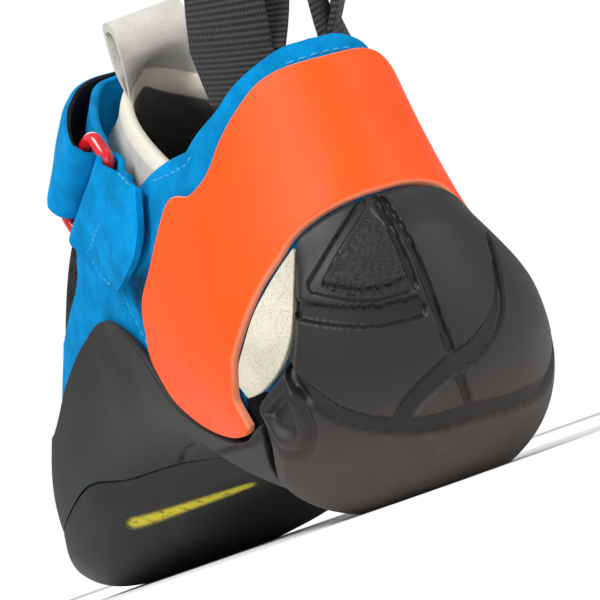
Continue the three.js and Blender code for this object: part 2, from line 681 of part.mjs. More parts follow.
// The strap: sewn to the outer side, over the tongue, round the ring's upper bar and back on itself.
function makeStrap() {
  const frame = ringFrame();
  const wrap = RING_WIRE / 2 + RING_GAP + STRAP_THICKNESS / 2;
  const front = line(STRAP_FRONT);
  const rear = line(STRAP_REAR);
  const low = LAYER_GAP + STRAP_THICKNESS / 2;
  const overShoe = (share, v, height) => {
    const [s0, t0] = front(share);
    const [s1, t1] = rear(share);
    return surface(THREE.MathUtils.lerp(s0, s1, v), THREE.MathUtils.lerp(t0, t1, v), height);
  };
  const roundBar = (angle, v) => frame.middle.clone()
    .addScaledVector(frame.long, (v - 0.5) * (RING_LENGTH - RING_ROOM * RING_WIRE))
    .addScaledVector(frame.short, frame.bar)
    .addScaledVector(frame.out, -Math.cos(angle) * wrap)
    .addScaledVector(frame.short, -Math.sin(angle) * wrap);
  const { over, round, back } = STRAP_STEPS;
  const steps = over + round + back;
  return ribbon(steps, STRAP_STEPS.across, STRAP_THICKNESS, (u, v) => {
    const at = u * steps;
    if (at < over) {
      const k = at / over;
      const rise = low + STRAP_RISE * Math.sin((Math.PI * k) / 2);
      return overShoe(k, v, rise).lerp(roundBar(0, v), smooth((k - STRAP_DIP) / STRAP_DIP_LENGTH));
    }
    if (at <= over + round) {
      return roundBar((Math.PI * (at - over)) / round, v);
    }
    const k = (at - over - round) / back;
    const rise = low + STRAP_RISE + STRAP_THICKNESS + SEAM_GAP + STRAP_FOLD * (1 - smooth(k));
    const place = overShoe(THREE.MathUtils.lerp(1, STRAP_END, k), v, rise);
    return roundBar(Math.PI, v).lerp(place, smooth(k / (1 - STRAP_END)));
  });
}

// A pull loop of webbing, sewn inside the collar beside the middle of the back.
function makePullLoop(hand) {
  const [outerTurn, innerTurn] = hand < 0 ? LOOP_TURNS.inner : LOOP_TURNS.outer;
  const middleTurn = (hand * (outerTurn + innerTurn)) / 2;
  const inside = -UPPER_WALL - WEBBING_GAP - WEBBING_THICKNESS / 2;
  const out = lastNormal(LOOP_STATION, middleTurn);
  const wall = lastPoint(LOOP_STATION + 0.5, 0).sub(lastPoint(LOOP_STATION, 0)).normalize();
  const across = wall.clone().cross(out).normalize();
  const girth = lastPoint(LOOP_STATION, 0.25).distanceTo(lastPoint(LOOP_STATION, 0.75)) * Math.PI;
  return ribbon(...STEPS.pullLoop, WEBBING_THICKNESS, (u, v) => {
    const loopShare = THREE.MathUtils.clamp((u - TAIL_SHARE) / (1 - 2 * TAIL_SHARE), 0, 1);
    const [outwards, upwards] = drop(loopShare, LOOP_DEPTH / 2, LOOP_DEPTH / 2, LOOP_HEIGHT);
    const below = (LOOP_TAIL * Math.max(TAIL_SHARE - u, u - 1 + TAIL_SHARE, 0)) / TAIL_SHARE;
    const turn = hand * THREE.MathUtils.lerp(outerTurn, innerTurn, smooth(u));
    const depth = inside - u * (WEBBING_THICKNESS + 2 * SEAM_GAP);
    const aside = (v - 0.5) * WEBBING_WIDTH;
    const curved = surface(LOOP_STATION, turn + aside / girth, depth);
    const flat = surface(LOOP_STATION, turn, depth).addScaledVector(across, aside);
    return curved.lerp(flat, smooth(upwards / LOOP_HEIGHT))
      .addScaledVector(out, outwards)
      .addScaledVector(across, hand * LOOP_SPREAD * smooth(upwards / LOOP_HEIGHT))
      .addScaledVector(LOOP_RISE, upwards)
      .addScaledVector(wall, -below);
  });
}

const PIECES = {
  upper: { make: makeUpper, color: 0x0f86c8, roughness: 0.95 },
  insole: { make: makeInsole, color: 0x2a2a2c, roughness: 0.9 },
  outsole: { make: makeOutsole, color: 0x1c1c1d, roughness: 0.6 },
  toe_rand: { make: makeToeRand, color: 0x232324, roughness: 0.6 },
  slingshot_rand: { make: makeSlingshotRand, color: 0xff5a14, roughness: 0.4 },
  heel_pod: { make: makeHeelPod, color: 0x202021, roughness: 0.5 },
  heel_insert: { make: makeHeelInsert, color: 0xc9c4b2, roughness: 0.8 },
  tongue: { make: makeTongue, color: 0xb9b5aa, roughness: 0.9 },
  anchor_tab: { make: makeAnchor, color: 0x0f86c8, roughness: 0.95 },
  ring: { make: makeRing, color: 0xd3161a, roughness: 0.2 },
  strap: { make: makeStrap, color: 0x0f86c8, roughness: 0.95 },
  pull_loop_inner: { make: () => makePullLoop(-1), color: 0x151515, roughness: 0.9 },
  pull_loop_outer: { make: () => makePullLoop(1), color: 0x151515, roughness: 0.9 },
};

const shoe = new THREE.Group();
for (const [name, piece] of Object.entries(PIECES)) {
  const material = new THREE.MeshStandardMaterial({
    color: piece.color,
    roughness: piece.roughness,
    metalness: 0,
  });
  const mesh = new THREE.Mesh(piece.make(), material);
  mesh.name = name;
  shoe.add(mesh);
}

export default shoe;
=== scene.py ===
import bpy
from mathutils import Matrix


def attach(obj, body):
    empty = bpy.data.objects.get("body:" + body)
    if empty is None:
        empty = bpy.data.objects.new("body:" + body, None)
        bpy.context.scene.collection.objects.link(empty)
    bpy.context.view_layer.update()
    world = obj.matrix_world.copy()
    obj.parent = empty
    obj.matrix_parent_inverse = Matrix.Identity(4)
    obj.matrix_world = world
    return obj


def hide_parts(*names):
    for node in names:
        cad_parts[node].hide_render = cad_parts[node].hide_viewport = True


bl_info = {
    "name": "Climbing shoe",
    "version": (1, 0, 0),
    "blender": (4, 5, 0),
    "location": "3D View > Sidebar > Shoe",
    "description": "Dresses the packed frame of one right climbing shoe",
    "category": "Add Mesh",
}

import bmesh
import bpy
import numpy as np
from bpy.props import FloatProperty, FloatVectorProperty, PointerProperty
from mathutils import Matrix

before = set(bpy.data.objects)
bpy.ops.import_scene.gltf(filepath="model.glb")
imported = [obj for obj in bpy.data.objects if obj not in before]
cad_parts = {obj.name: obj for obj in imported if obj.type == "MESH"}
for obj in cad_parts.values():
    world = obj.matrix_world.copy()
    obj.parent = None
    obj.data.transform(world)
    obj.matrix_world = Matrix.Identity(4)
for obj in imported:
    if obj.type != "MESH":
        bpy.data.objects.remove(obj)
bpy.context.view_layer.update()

MM = 0.001

# The last, as in the part's source, in millimetres and shares
LAST_LENGTH = 246.5
HEEL_REACH = 36.2
BALL_WIDTH = 86.4
HEEL_WIDTH = 65.6
INSTEP_HEIGHT = 107
HEEL_HEIGHT = 93
ARCH_LIFT = 17.4
TOE_SPRING = 9.9
SOLE_SEAT = 4.9
POD_SEAT = 3.4
STATION_STEP = 12
TURN_LENGTH = 210

# Columns: back, spring, arch, rise, front, top, shift, lean, heel, inner, outer, level, low, high
SECTIONS = np.array([
    [1.000, 1.00, 0.00, 0.000, 1.000, 0.136, -0.190, 0.000, 0.00, 0.000, 0.000, 0.45, 0.10, 0.05],
    [0.994, 0.46, 0.00, 0.000, 0.990, 0.194, -0.190, 0.000, 0.00, 0.110, 0.125, 0.45, 0.12, 0.05],
    [0.970, 0.18, 0.00, 0.000, 0.962, 0.257, -0.179, 0.000, 0.00, 0.196, 0.235, 0.43, 0.16, 0.05],
    [0.930, 0.04, 0.00, 0.000, 0.920, 0.311, -0.156, 0.000, 0.00, 0.279, 0.324, 0.40, 0.20, 0.03],
    [0.871, 0.00, 0.00, 0.000, 0.863, 0.374, -0.128, -0.011, 0.00, 0.358, 0.413, 0.37, 0.22, 0.02],
    [0.803, 0.02, 0.00, 0.000, 0.801, 0.446, -0.089, -0.030, 0.00, 0.430, 0.475, 0.35, 0.22, 0.00],
    [0.728, 0.00, 0.10, 0.000, 0.738, 0.527, -0.050, -0.060, 0.00, 0.486, 0.514, 0.33, 0.20, 0.00],
    [0.652, 0.00, 0.29, 0.000, 0.675, 0.617, -0.019, -0.095, 0.00, 0.492, 0.508, 0.33, 0.16, 0.04],
    [0.570, 0.00, 0.61, 0.000, 0.613, 0.712, 0.006, -0.130, 0.15, 0.486, 0.498, 0.34, 0.12, 0.10],
    [0.487, 0.00, 0.90, 0.000, 0.554, 0.802, 0.022, -0.150, 0.35, 0.475, 0.482, 0.36, 0.10, 0.18],
    [0.405, 0.00, 1.00, 0.000, 0.503, 0.883, 0.034, -0.155, 0.55, 0.469, 0.476, 0.37, 0.08, 0.24],
    [0.323, 0.00, 0.80, 0.000, 0.464, 0.951, 0.045, -0.155, 0.75, 0.463, 0.477, 0.36, 0.06, 0.26],
    [0.241, 0.00, 0.28, 0.000, 0.437, 1.000, 0.045, -0.155, 0.90, 0.456, 0.499, 0.35, 0.07, 0.24],
    [0.159, 0.00, 0.00, 0.000, 0.419, 1.041, 0.045, -0.155, 1.00, 0.456, 0.544, 0.34, 0.10, 0.18],
    [0.076, 0.00, 0.00, 0.008, 0.407, 1.072, 0.045, -0.155, 1.00, 0.456, 0.538, 0.33, 0.10, 0.12],
    [0.016, 0.00, 0.00, 0.138, 0.399, 1.099, 0.045, -0.155, 1.00, 0.427, 0.483, 0.31, 0.08, 0.02],
    [0.000, 0.00, 0.00, 0.350, 0.393, 1.122, 0.045, -0.155, 1.00, 0.375, 0.392, 0.33, 0.05, 0.00],
    [0.010, 0.00, 0.00, 0.553, 0.389, 1.144, 0.050, -0.155, 1.00, 0.323, 0.348, 0.35, 0.02, 0.00],
    [0.027, 0.00, 0.00, 0.750, 0.386, 1.167, 0.056, -0.155, 1.00, 0.302, 0.345, 0.38, 0.00, 0.00],
    [0.045, 0.00, 0.00, 0.931, 0.382, 1.194, 0.061, -0.155, 1.00, 0.294, 0.357, 0.40, -0.02, 0.00],
    [0.059, 0.00, 0.00, 1.087, 0.378, 1.225, 0.061, -0.155, 1.00, 0.302, 0.372, 0.42, -0.02, 0.00],
])

# Outlines as [station, turn] points, as in the part's source. Turns are positive on the outer side.
COLLAR_HALF = [
    [19.3, 0], [19.25, 0.05], [19, 0.1], [18.7, 0.138], [18.35, 0.168], [17.7, 0.226],
    [16.87, 0.281], [15.7, 0.318], [14.7, 0.342], [13.4, 0.366], [11.8, 0.39], [10.4, 0.41],
    [9.2, 0.432], [8.5, 0.463], [8.3, 0.5],
]
SOLE_OUTLINE = [
    [0.15, 0.5], [0.15, 0.42], [0.15, 0.34], [0.2, 0.27], [1.5, 0.245], [3.5, 0.24], [5.5, 0.24],
    [7.2, 0.225], [8.4, 0.18], [9.4, 0.13], [10.1, 0.09], [10.45, 0.06], [10.6, 0.03],
    [10.65, 0], [10.6, -0.03], [10.5, -0.06], [10.2, -0.095], [9.55, -0.126], [8.6, -0.168],
    [7.75, -0.225], [5.5, -0.25], [3.5, -0.25], [1.5, -0.25], [0.2, -0.27], [0.15, -0.34],
    [0.15, -0.42], [0.15, -0.5],
]
RAND_OUTLINE = [
    [5.9, 0.5], [6, 0.43], [6.3, 0.37], [6.9, 0.33], [7.3, 0.32], [7.8, 0.313], [8.6, 0.305],
    [9.6, 0.298], [10.6, 0.292], [11.4, 0.272], [12, 0.24], [12.8, 0.2], [12.5, 0.13], [12.2, 0],
    [12.25, -0.06], [12.65, -0.112], [13.5, -0.15], [14.25, -0.174], [13.35, -0.184],
    [12.2, -0.225], [12.1, -0.27], [11.28, -0.288], [10.2, -0.288], [8.9, -0.294], [7.2, -0.315],
    [6.1, -0.4], [5.9, -0.5],
]
SLING_UPPER = [
    [18.9, 0], [18.85, -0.06], [18.69, -0.095], [18.32, -0.132], [17.82, -0.169],
    [17.25, -0.203], [16.79, -0.236], [16.43, -0.265], [15.78, -0.28], [15.06, -0.29],
    [14.19, -0.29], [13.2, -0.28], [12.42, -0.262], [12.3, -0.233], [12.95, -0.203],
    [13.95, -0.18],
]
SLING_LOWER = [
    [17.15, 0], [17.13, -0.03], [17.01, -0.067], [16.81, -0.099], [16.61, -0.12],
    [16.35, -0.138], [16.02, -0.16], [15.62, -0.182], [15.25, -0.198], [14.91, -0.207],
    [14.7, -0.206], [14.5, -0.204], [14.36, -0.201], [14.28, -0.196], [14.2, -0.19],
    [14.1, -0.182],
]
POD_LOWER = [
    [14.49, -0.178], [14.2, -0.161], [13.7, -0.149], [13.1, -0.132], [12.75, -0.098],
    [12.5, -0.05], [12.45, 0], [12.5, 0.05], [12.65, 0.1], [12.95, 0.145], [13.4, 0.166],
    [13.9, 0.172], [14.5, 0.188],
]
POD_INNER_EDGE = [
    [14.69, -0.174], [14.93, -0.164], [15.22, -0.15], [15.56, -0.137], [16.12, -0.124],
    [16.61, -0.113],
]
INSERT_FRONT = [
    [16.52, -0.121], [16.3, -0.137], [15.97, -0.158], [15.58, -0.18], [15.22, -0.194],
    [14.9, -0.202], [14.6, -0.2],
]
INSERT_REAR = [
    [16.48, -0.119], [16.12, -0.127], [15.57, -0.14], [15.23, -0.153], [14.94, -0.167],
    [14.72, -0.178], [14.54, -0.189],
]
INSOLE = [
    [0.9, 0.14], [2.5, 0.17], [5, 0.175], [8, 0.16], [11, 0.14], [13.3, 0.13], [14.3, 0.105],
]
TONGUE_HALF = [
    [7.6, 0.05], [9.5, 0.1], [11.5, 0.135], [13.5, 0.165], [15.2, 0.2], [16.7, 0.222],
]
ANCHOR_REAR = [[15.75, -0.335], [15.95, -0.318], [16, -0.301]]
ANCHOR_FRONT = [[12.1, -0.335], [12.2, -0.32], [12.85, -0.302]]
STRAP_FRONT = [[12.6, 0.3], [11.6, 0.39], [10.6, 0.47], [11, 0.53], [12.5, 0.585]]
STRAP_REAR = [[15, 0.3], [15.6, 0.39], [15.9, 0.47], [15.8, 0.54], [15.5, 0.6]]

# Grooves of the heel pod
POD_GROOVES = {
    "long arc": [
        [15.2, -0.142], [15.1, -0.125], [14.95, -0.096], [14.88, -0.04], [14.88, 0.008],
        [14.75, 0.056], [14.6, 0.098], [14.6, 0.15],
    ],
    "inner arc": [[15.85, -0.125], [15.85, -0.09], [15.85, -0.06], [15.88, -0.012]],
    "outer groove": [
        [16.0, 0.105], [15.6, 0.071], [15.4, 0.03], [15.3, -0.008], [15.1, -0.04],
        [14.95, -0.052],
    ],
}
POD_LEGS = {
    "left leg": [[17.05, -0.03], [16.6, -0.07], [16.1, -0.105]],
    "right leg": [[17.05, -0.014], [16.5, -0.012], [16.1, -0.011]],
    "outer leg": [[17.0, -0.005], [16.4, 0], [15.9, 0.001], [15.4, 0.003], [14.95, 0.008]],
    "base": [[16.1, -0.1], [16.05, -0.06], [16.1, -0.016]],
}
TEARDROP = [
    [15.2, -0.148], [14.8, -0.169], [14.6, -0.173], [14.5, -0.167], [14.4, -0.154],
    [14.4, -0.14], [14.5, -0.129], [14.7, -0.125], [14.8, -0.127], [15.0, -0.133],
]
PEBBLED = [[17.0, -0.025], [16.6, -0.062], [16.12, -0.098], [16.1, -0.018], [16.6, -0.014]]
SOLE_SEAM = [
    [9.6, -0.128], [10.6, -0.142], [11.6, -0.158],
    [12.5, -0.178], [13.4, -0.181], [14.1, -0.172],
]
SOLE_BAR = [[7.82, -0.143], [8.1, -0.121], [8.45, -0.095], [8.75, -0.07], [9.0, -0.049]]


def sized_sections():
    """Each row of shares in metres: the section's two ends, sideways place, widths and form."""
    (back, spring, arch, rise, front, top, shift, lean, heel, inner, outer, level, low,
     high) = SECTIONS.T
    width = BALL_WIDTH + (HEEL_WIDTH - BALL_WIDTH) * heel
    seat = SOLE_SEAT + (POD_SEAT - SOLE_SEAT) * heel
    lift = spring * TOE_SPRING + arch * ARCH_LIFT + rise * HEEL_HEIGHT
    sized = [
        back * LAST_LENGTH - HEEL_REACH, seat + lift, front * LAST_LENGTH - HEEL_REACH,
        top * INSTEP_HEIGHT, shift * BALL_WIDTH, lean * BALL_WIDTH, inner * width, outer * width,
    ]
    return np.stack([column * MM for column in sized] + [level, low, high], axis=1)


def spline_bends(table):
    """Second slopes of a natural cubic spline through evenly spaced rows: neighbours plus four
    times a row's own equal six times its second difference."""
    inside = len(table) - 2
    matrix = 4 * np.eye(inside) + np.eye(inside, k=1) + np.eye(inside, k=-1)
    bends = np.zeros_like(table)
    bends[1:-1] = np.linalg.solve(matrix, 6 * (table[:-2] - 2 * table[1:-1] + table[2:]))
    return bends


ROWS = sized_sections()
BENDS = spline_bends(ROWS)


def last_point(station, turn):
    """Points of the last. The section at a station is an oval between its two ends: a cosine
    across and a sine along, each made fuller by the square of the other."""
    station, turn = np.broadcast_arrays(np.asarray(station, float), np.asarray(turn, float))
    turn = np.where(station < 0.02, 0, turn)
    row = np.clip(np.floor(station).astype(int), 0, len(ROWS) - 2)
    t = (station - row)[..., None]
    u = 1 - t
    value = u * ROWS[row] + t * ROWS[row + 1]
    value += ((u ** 3 - u) * BENDS[row] + (t ** 3 - t) * BENDS[row + 1]) / 6
    (back_y, back_z, front_y, front_z, shift, lean, inner, outer, level, low,
     high) = np.moveaxis(value, -1, 0)
    angle = 2 * np.pi * (turn - 0.25)
    across, along = np.cos(angle), np.sin(angle)
    fullness = low + (high - low) * (0.5 + 0.5 * along)
    reach = along * (1 + fullness * across ** 2)
    share = level + reach * np.where(along < 0, level, 1 - level)
    half = np.where(across >= 0, outer, inner)
    return np.stack([
        shift + lean * share + half * across * (1 + fullness * along ** 2),
        back_y + (front_y - back_y) * share,
        back_z + (front_z - back_z) * share,
    ], axis=-1)


def unit(vectors):
    return vectors / np.maximum(np.linalg.norm(vectors, axis=-1, keepdims=True), 1e-12)


def last_normal(station, turn):
    """Directions out of the last: the slope round a section crossed with the slope along it."""
    step = 0.001
    station, turn = np.broadcast_arrays(np.asarray(station, float), np.asarray(turn, float))
    along = last_point(station + step, turn) - last_point(station - step, turn)
    around = last_point(station, turn + step) - last_point(station, turn - step)
    normal = unit(np.cross(around, along))
    return np.where((station < 0.02)[..., None], np.array([0.0, 1.0, 0.0]), normal)


def surface(station, turn, height):
    height = np.asarray(height, float)
    return last_point(station, turn) + last_normal(station, turn) * height[..., None]


def smooth(x):
    t = np.clip(x, 0, 1)
    return t * t * (3 - 2 * t)


def mix(a, b, share):
    return a + (b - a) * share


def line(points):
    """A centripetal Catmull-Rom curve through [station, turn] points: a cubic between each pair,
    whose slopes weigh its neighbours by the square roots of their distances."""
    spots = np.array(points, float) * [STATION_STEP, TURN_LENGTH]
    spots = np.vstack([2 * spots[0] - spots[1], spots, 2 * spots[-1] - spots[-2]])
    gaps = np.maximum(np.linalg.norm(np.diff(spots, axis=0), axis=1), 1e-4) ** 0.5

    def at(share):
        position = np.clip(np.asarray(share, float), 0, 1) * (len(spots) - 3)
        k = np.minimum(position.astype(int), len(spots) - 4)
        w = (position - k)[..., None]
        p0, p1, p2, p3 = (spots[k + i] for i in range(4))
        d0, d1, d2 = (gaps[k + i][..., None] for i in range(3))
        m1 = d1 * ((p1 - p0) / d0 - (p2 - p0) / (d0 + d1) + (p2 - p1) / d1)
        m2 = d1 * ((p2 - p1) / d1 - (p3 - p1) / (d1 + d2) + (p3 - p2) / d2)
        spot = (2 * w ** 3 - 3 * w ** 2 + 1) * p1 + (w ** 3 - 2 * w ** 2 + w) * m1
        spot += (3 * w ** 2 - 2 * w ** 3) * p2 + (w ** 3 - w ** 2) * m2
        return spot[..., 0] / STATION_STEP, spot[..., 1] / TURN_LENGTH

    return at


def mirrored(points):
    return [[station, -turn] for station, turn in points]


def both_sides(points):
    return mirrored(points)[::-1] + points[1:]


def edged(count):
    """Shares from 0 to 1 that crowd towards both ends."""
    even = np.linspace(0, 1, count + 1)
    return mix(even, (1 - np.cos(np.pi * even)) / 2, 0.75)


def between(first, second, along, across, gap=0.15 * MM):
    """A grid of stations and turns between two lines, with each place's distance from both."""
    s0, t0 = (x[:, None] for x in first(along))
    s1, t1 = (x[:, None] for x in second(along))
    ruler = np.linspace(0, 1, 25)
    path = last_point(mix(s0, s1, ruler), mix(t0, t1, ruler))
    reach = np.linalg.norm(np.diff(path, axis=1), axis=-1).sum(axis=1)[:, None]
    share = np.minimum(gap / reach, 0.45)
    k = mix(share, 1 - share, across[None, :])
    return {
        "station": mix(s0, s1, k),
        "turn": mix(t0, t1, k),
        "first": k * reach,
        "second": (1 - k) * reach,
        "edge": np.minimum(k, 1 - k) * reach,
    }


def ends_distance(points):
    """Distances of a grid's places from its two end rows, along its columns."""
    steps = np.linalg.norm(np.diff(points, axis=0), axis=-1)
    walked = np.vstack([np.zeros((1, steps.shape[1])), np.cumsum(steps, axis=0)])
    return np.minimum(walked, walked[-1] - walked)


def rounded(distance, radius):
    """A quarter round: the height of a circle's arc over its distance from the edge."""
    x = np.clip(distance / radius, 0, 1)
    return np.sqrt(np.maximum(1 - (1 - x) ** 2, 0))


def flat_place(station, turn):
    """Stations and turns laid out flat, in metres, for distances over the surface."""
    return np.stack([np.asarray(station) * STATION_STEP, np.asarray(turn) * TURN_LENGTH], -1) * MM


def path_distance(station, turn, points, closed=False, steps=40):
    """Distance of each place to a smooth path: the least distance to any of its short chords."""
    here = flat_place(station, turn)
    if closed:
        points = list(points) + [points[0]]
    path = flat_place(*line(points)(np.linspace(0, 1, steps + 1)))
    nearest = np.full(here.shape[:-1], np.inf)
    for a, b in zip(path[:-1], path[1:]):
        chord = b - a
        t = np.clip(((here - a) @ chord) / max(chord @ chord, 1e-16), 0, 1)
        nearest = np.minimum(nearest, np.linalg.norm(here - a - t[..., None] * chord, axis=-1))
    return nearest


def inside(station, turn, points):
    """Whether each place lies inside an outline: it crosses the outline an odd number of times."""
    here = flat_place(station, turn)
    corner = flat_place(*line(list(points) + [points[0]])(np.linspace(0, 1, 61)))
    result = np.zeros(here.shape[:-1], bool)
    for a, b in zip(corner[:-1], corner[1:]):
        spans = (a[1] > here[..., 1]) != (b[1] > here[..., 1])
        rise = np.where(abs(b[1] - a[1]) < 1e-12, 1e-12, b[1] - a[1])
        result ^= spans & (here[..., 0] < a[0] + (here[..., 1] - a[1]) * (b[0] - a[0]) / rise)
    return result


def depth_inside(station, turn, points):
    """Distance from an outline, positive inside it and negative outside."""
    distance = path_distance(station, turn, points, closed=True, steps=60)
    return np.where(inside(station, turn, points), distance, -distance)


def waves(points, length, seed, count=7):
    """Soft unevenness: a few sine waves of about one length, in fixed seeded directions."""
    rng = np.random.default_rng(seed)
    total = 0
    for _ in range(count):
        direction = unit(rng.normal(size=3)) * 2 * np.pi / (length * rng.uniform(0.7, 1.6))
        total = total + np.sin(points @ direction + rng.uniform(0, 2 * np.pi))
    return total / count ** 0.5


def sheet_faces(rows, columns, start, ring):
    """Quads between neighbouring rows and columns of one sheet of a grid."""
    i, j = np.meshgrid(np.arange(rows - 1), np.arange(columns - (not ring)), indexing="ij")
    k = (j + 1) % columns
    quads = [i * columns + j, (i + 1) * columns + j, (i + 1) * columns + k, i * columns + k]
    return start + np.stack(quads, -1).reshape(-1, 4)


def rim_faces(rows, columns, ring):
    """Quads that join the edges of two sheets of the same grid."""
    step = np.arange(columns)
    if ring:
        edges = [(step, np.roll(step, -1))]
        last = step + (rows - 1) * columns
        edges.append((np.roll(last, -1), last))
    else:
        down = np.arange(rows) * columns
        loop = np.concatenate([
            step[:-1], down[:-1] + columns - 1, (step + (rows - 1) * columns)[:0:-1],
            down[:0:-1],
        ])
        edges = [(loop, np.roll(loop, -1))]
    a = np.concatenate([edge[0] for edge in edges])
    b = np.concatenate([edge[1] for edge in edges])
    offset = rows * columns
    return np.stack([a, b, b + offset, a + offset], -1)


def signed_volume(points, faces):
    a, b, c, d = (points[faces[:, i]] for i in range(4))
    return (np.cross(b, c) * a).sum() + (np.cross(c, d) * a).sum()


def place_object(name, mesh, materials, replaced=()):
    piece = bpy.data.objects.new(name, mesh)
    bpy.context.scene.collection.objects.link(piece)
    for material in materials:
        mesh.materials.append(material)
    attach(piece, "root")
    if replaced:
        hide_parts(*replaced)
    return piece


def finish_mesh(mesh, sharp=50):
    """Merges doubled points, so poles close, and shades smoothly except at sharp edges."""
    work = bmesh.new()
    work.from_mesh(mesh)
    bmesh.ops.remove_doubles(work, verts=work.verts, dist=2e-6)
    bmesh.ops.dissolve_degenerate(work, edges=work.edges, dist=1e-6)
    work.to_mesh(mesh)
    work.free()
    mesh.shade_smooth()
    mesh.set_sharp_from_angle(angle=np.radians(sharp))
    mesh.update()


def shell(name, outer, inner, materials, replaced=(), ring=False, marks=None, cloth=None,
          inner_material=0, sharp=50):
    """A closed piece between two sheets of points, each a grid of rows and columns. Marks are
    numbers at the grid's places and cloth is each place's own flat position, for the materials."""
    rows, columns = outer.shape[:2]
    points = np.concatenate([outer.reshape(-1, 3), inner.reshape(-1, 3)])
    top = sheet_faces(rows, columns, 0, ring)
    under = sheet_faces(rows, columns, rows * columns, ring)[:, ::-1]
    rim = rim_faces(rows, columns, ring)
    faces = np.concatenate([top, under, rim])
    if signed_volume(points, faces) < 0:
        faces = faces[:, ::-1]
    mesh = bpy.data.meshes.new(name)
    mesh.from_pydata(points.tolist(), [], faces.tolist())
    slots = np.zeros(len(faces), np.int32)
    slots[len(top):len(top) + len(under)] = inner_material
    mesh.polygons.foreach_set("material_index", slots)
    for mark, values in (marks or {}).items():
        layer = mesh.attributes.new(mark, "FLOAT", "POINT")
        values = np.broadcast_to(values, (2, rows, columns)).astype(np.float32)
        layer.data.foreach_set("value", values.ravel())
    if cloth is not None:
        corners = np.zeros(len(mesh.loops), np.int32)
        mesh.loops.foreach_get("vertex_index", corners)
        flat = np.concatenate([cloth.reshape(-1, 2)] * 2)[corners]
        mesh.uv_layers.new(name="cloth").data.foreach_set("uv", flat.astype(np.float32).ravel())
    finish_mesh(mesh, sharp)
    return place_object(name, mesh, materials, replaced)


def cloth_lengths(points):
    """A flat position for each place of a grid: how far it lies along its column and its row."""
    down = np.linalg.norm(np.diff(points, axis=0), axis=-1).mean(axis=1)
    over = np.linalg.norm(np.diff(points, axis=1), axis=-1).mean(axis=0)
    along = np.concatenate([[0], np.cumsum(down)])
    across = np.concatenate([[0], np.cumsum(over)])
    return np.stack(np.meshgrid(along, across - across[-1] / 2, indexing="ij"), -1)


def ribbon(along, across, thickness, middle, edge_radius):
    """A band of one thickness about a middle sheet, with its long edges rounded."""
    step = 1e-4
    u, v = np.meshgrid(along, across, indexing="ij")
    clip = lambda x: np.clip(x, 0, 1)
    slope_u = middle(clip(u + step), v) - middle(clip(u - step), v)
    slope_v = middle(u, clip(v + step)) - middle(u, clip(v - step))
    face = unit(np.cross(slope_u, slope_v))
    points = middle(u, v)
    width = np.linalg.norm(np.diff(points, axis=1), axis=-1).sum(axis=1)[:, None]
    half = 0.5 * thickness * rounded(np.minimum(v, 1 - v) * width + 0.02 * MM, edge_radius)
    return points + face * half[..., None], points - face * half[..., None], points


# Shader maths


class Wire:
    """A socket that Python's operators can reach: each expression adds its Math node."""

    def __init__(self, graph, socket):
        self.graph = graph
        self.socket = socket

    def math(self, operation, *others, clamp=False):
        settings = {"operation": operation, "use_clamp": clamp}
        return self.graph.node("ShaderNodeMath", settings, [self, *others])

    def __add__(self, other):
        return self.math("ADD", other)

    def __sub__(self, other):
        return self.math("SUBTRACT", other)

    def __mul__(self, other):
        return self.math("MULTIPLY", other)

    def __rsub__(self, other):
        return self.graph.node("ShaderNodeMath", {"operation": "SUBTRACT"}, [other, self])

    __radd__ = __add__
    __rmul__ = __mul__

    def clamped(self):
        return self.math("ADD", 0.0, clamp=True)

    def steps(self, low, high):
        """0 below low, 1 above high and smooth between."""
        return self.graph.node(
            "ShaderNodeMapRange", {"interpolation_type": "SMOOTHSTEP"},
            {"Value": self, "From Min": low, "From Max": high},
        )


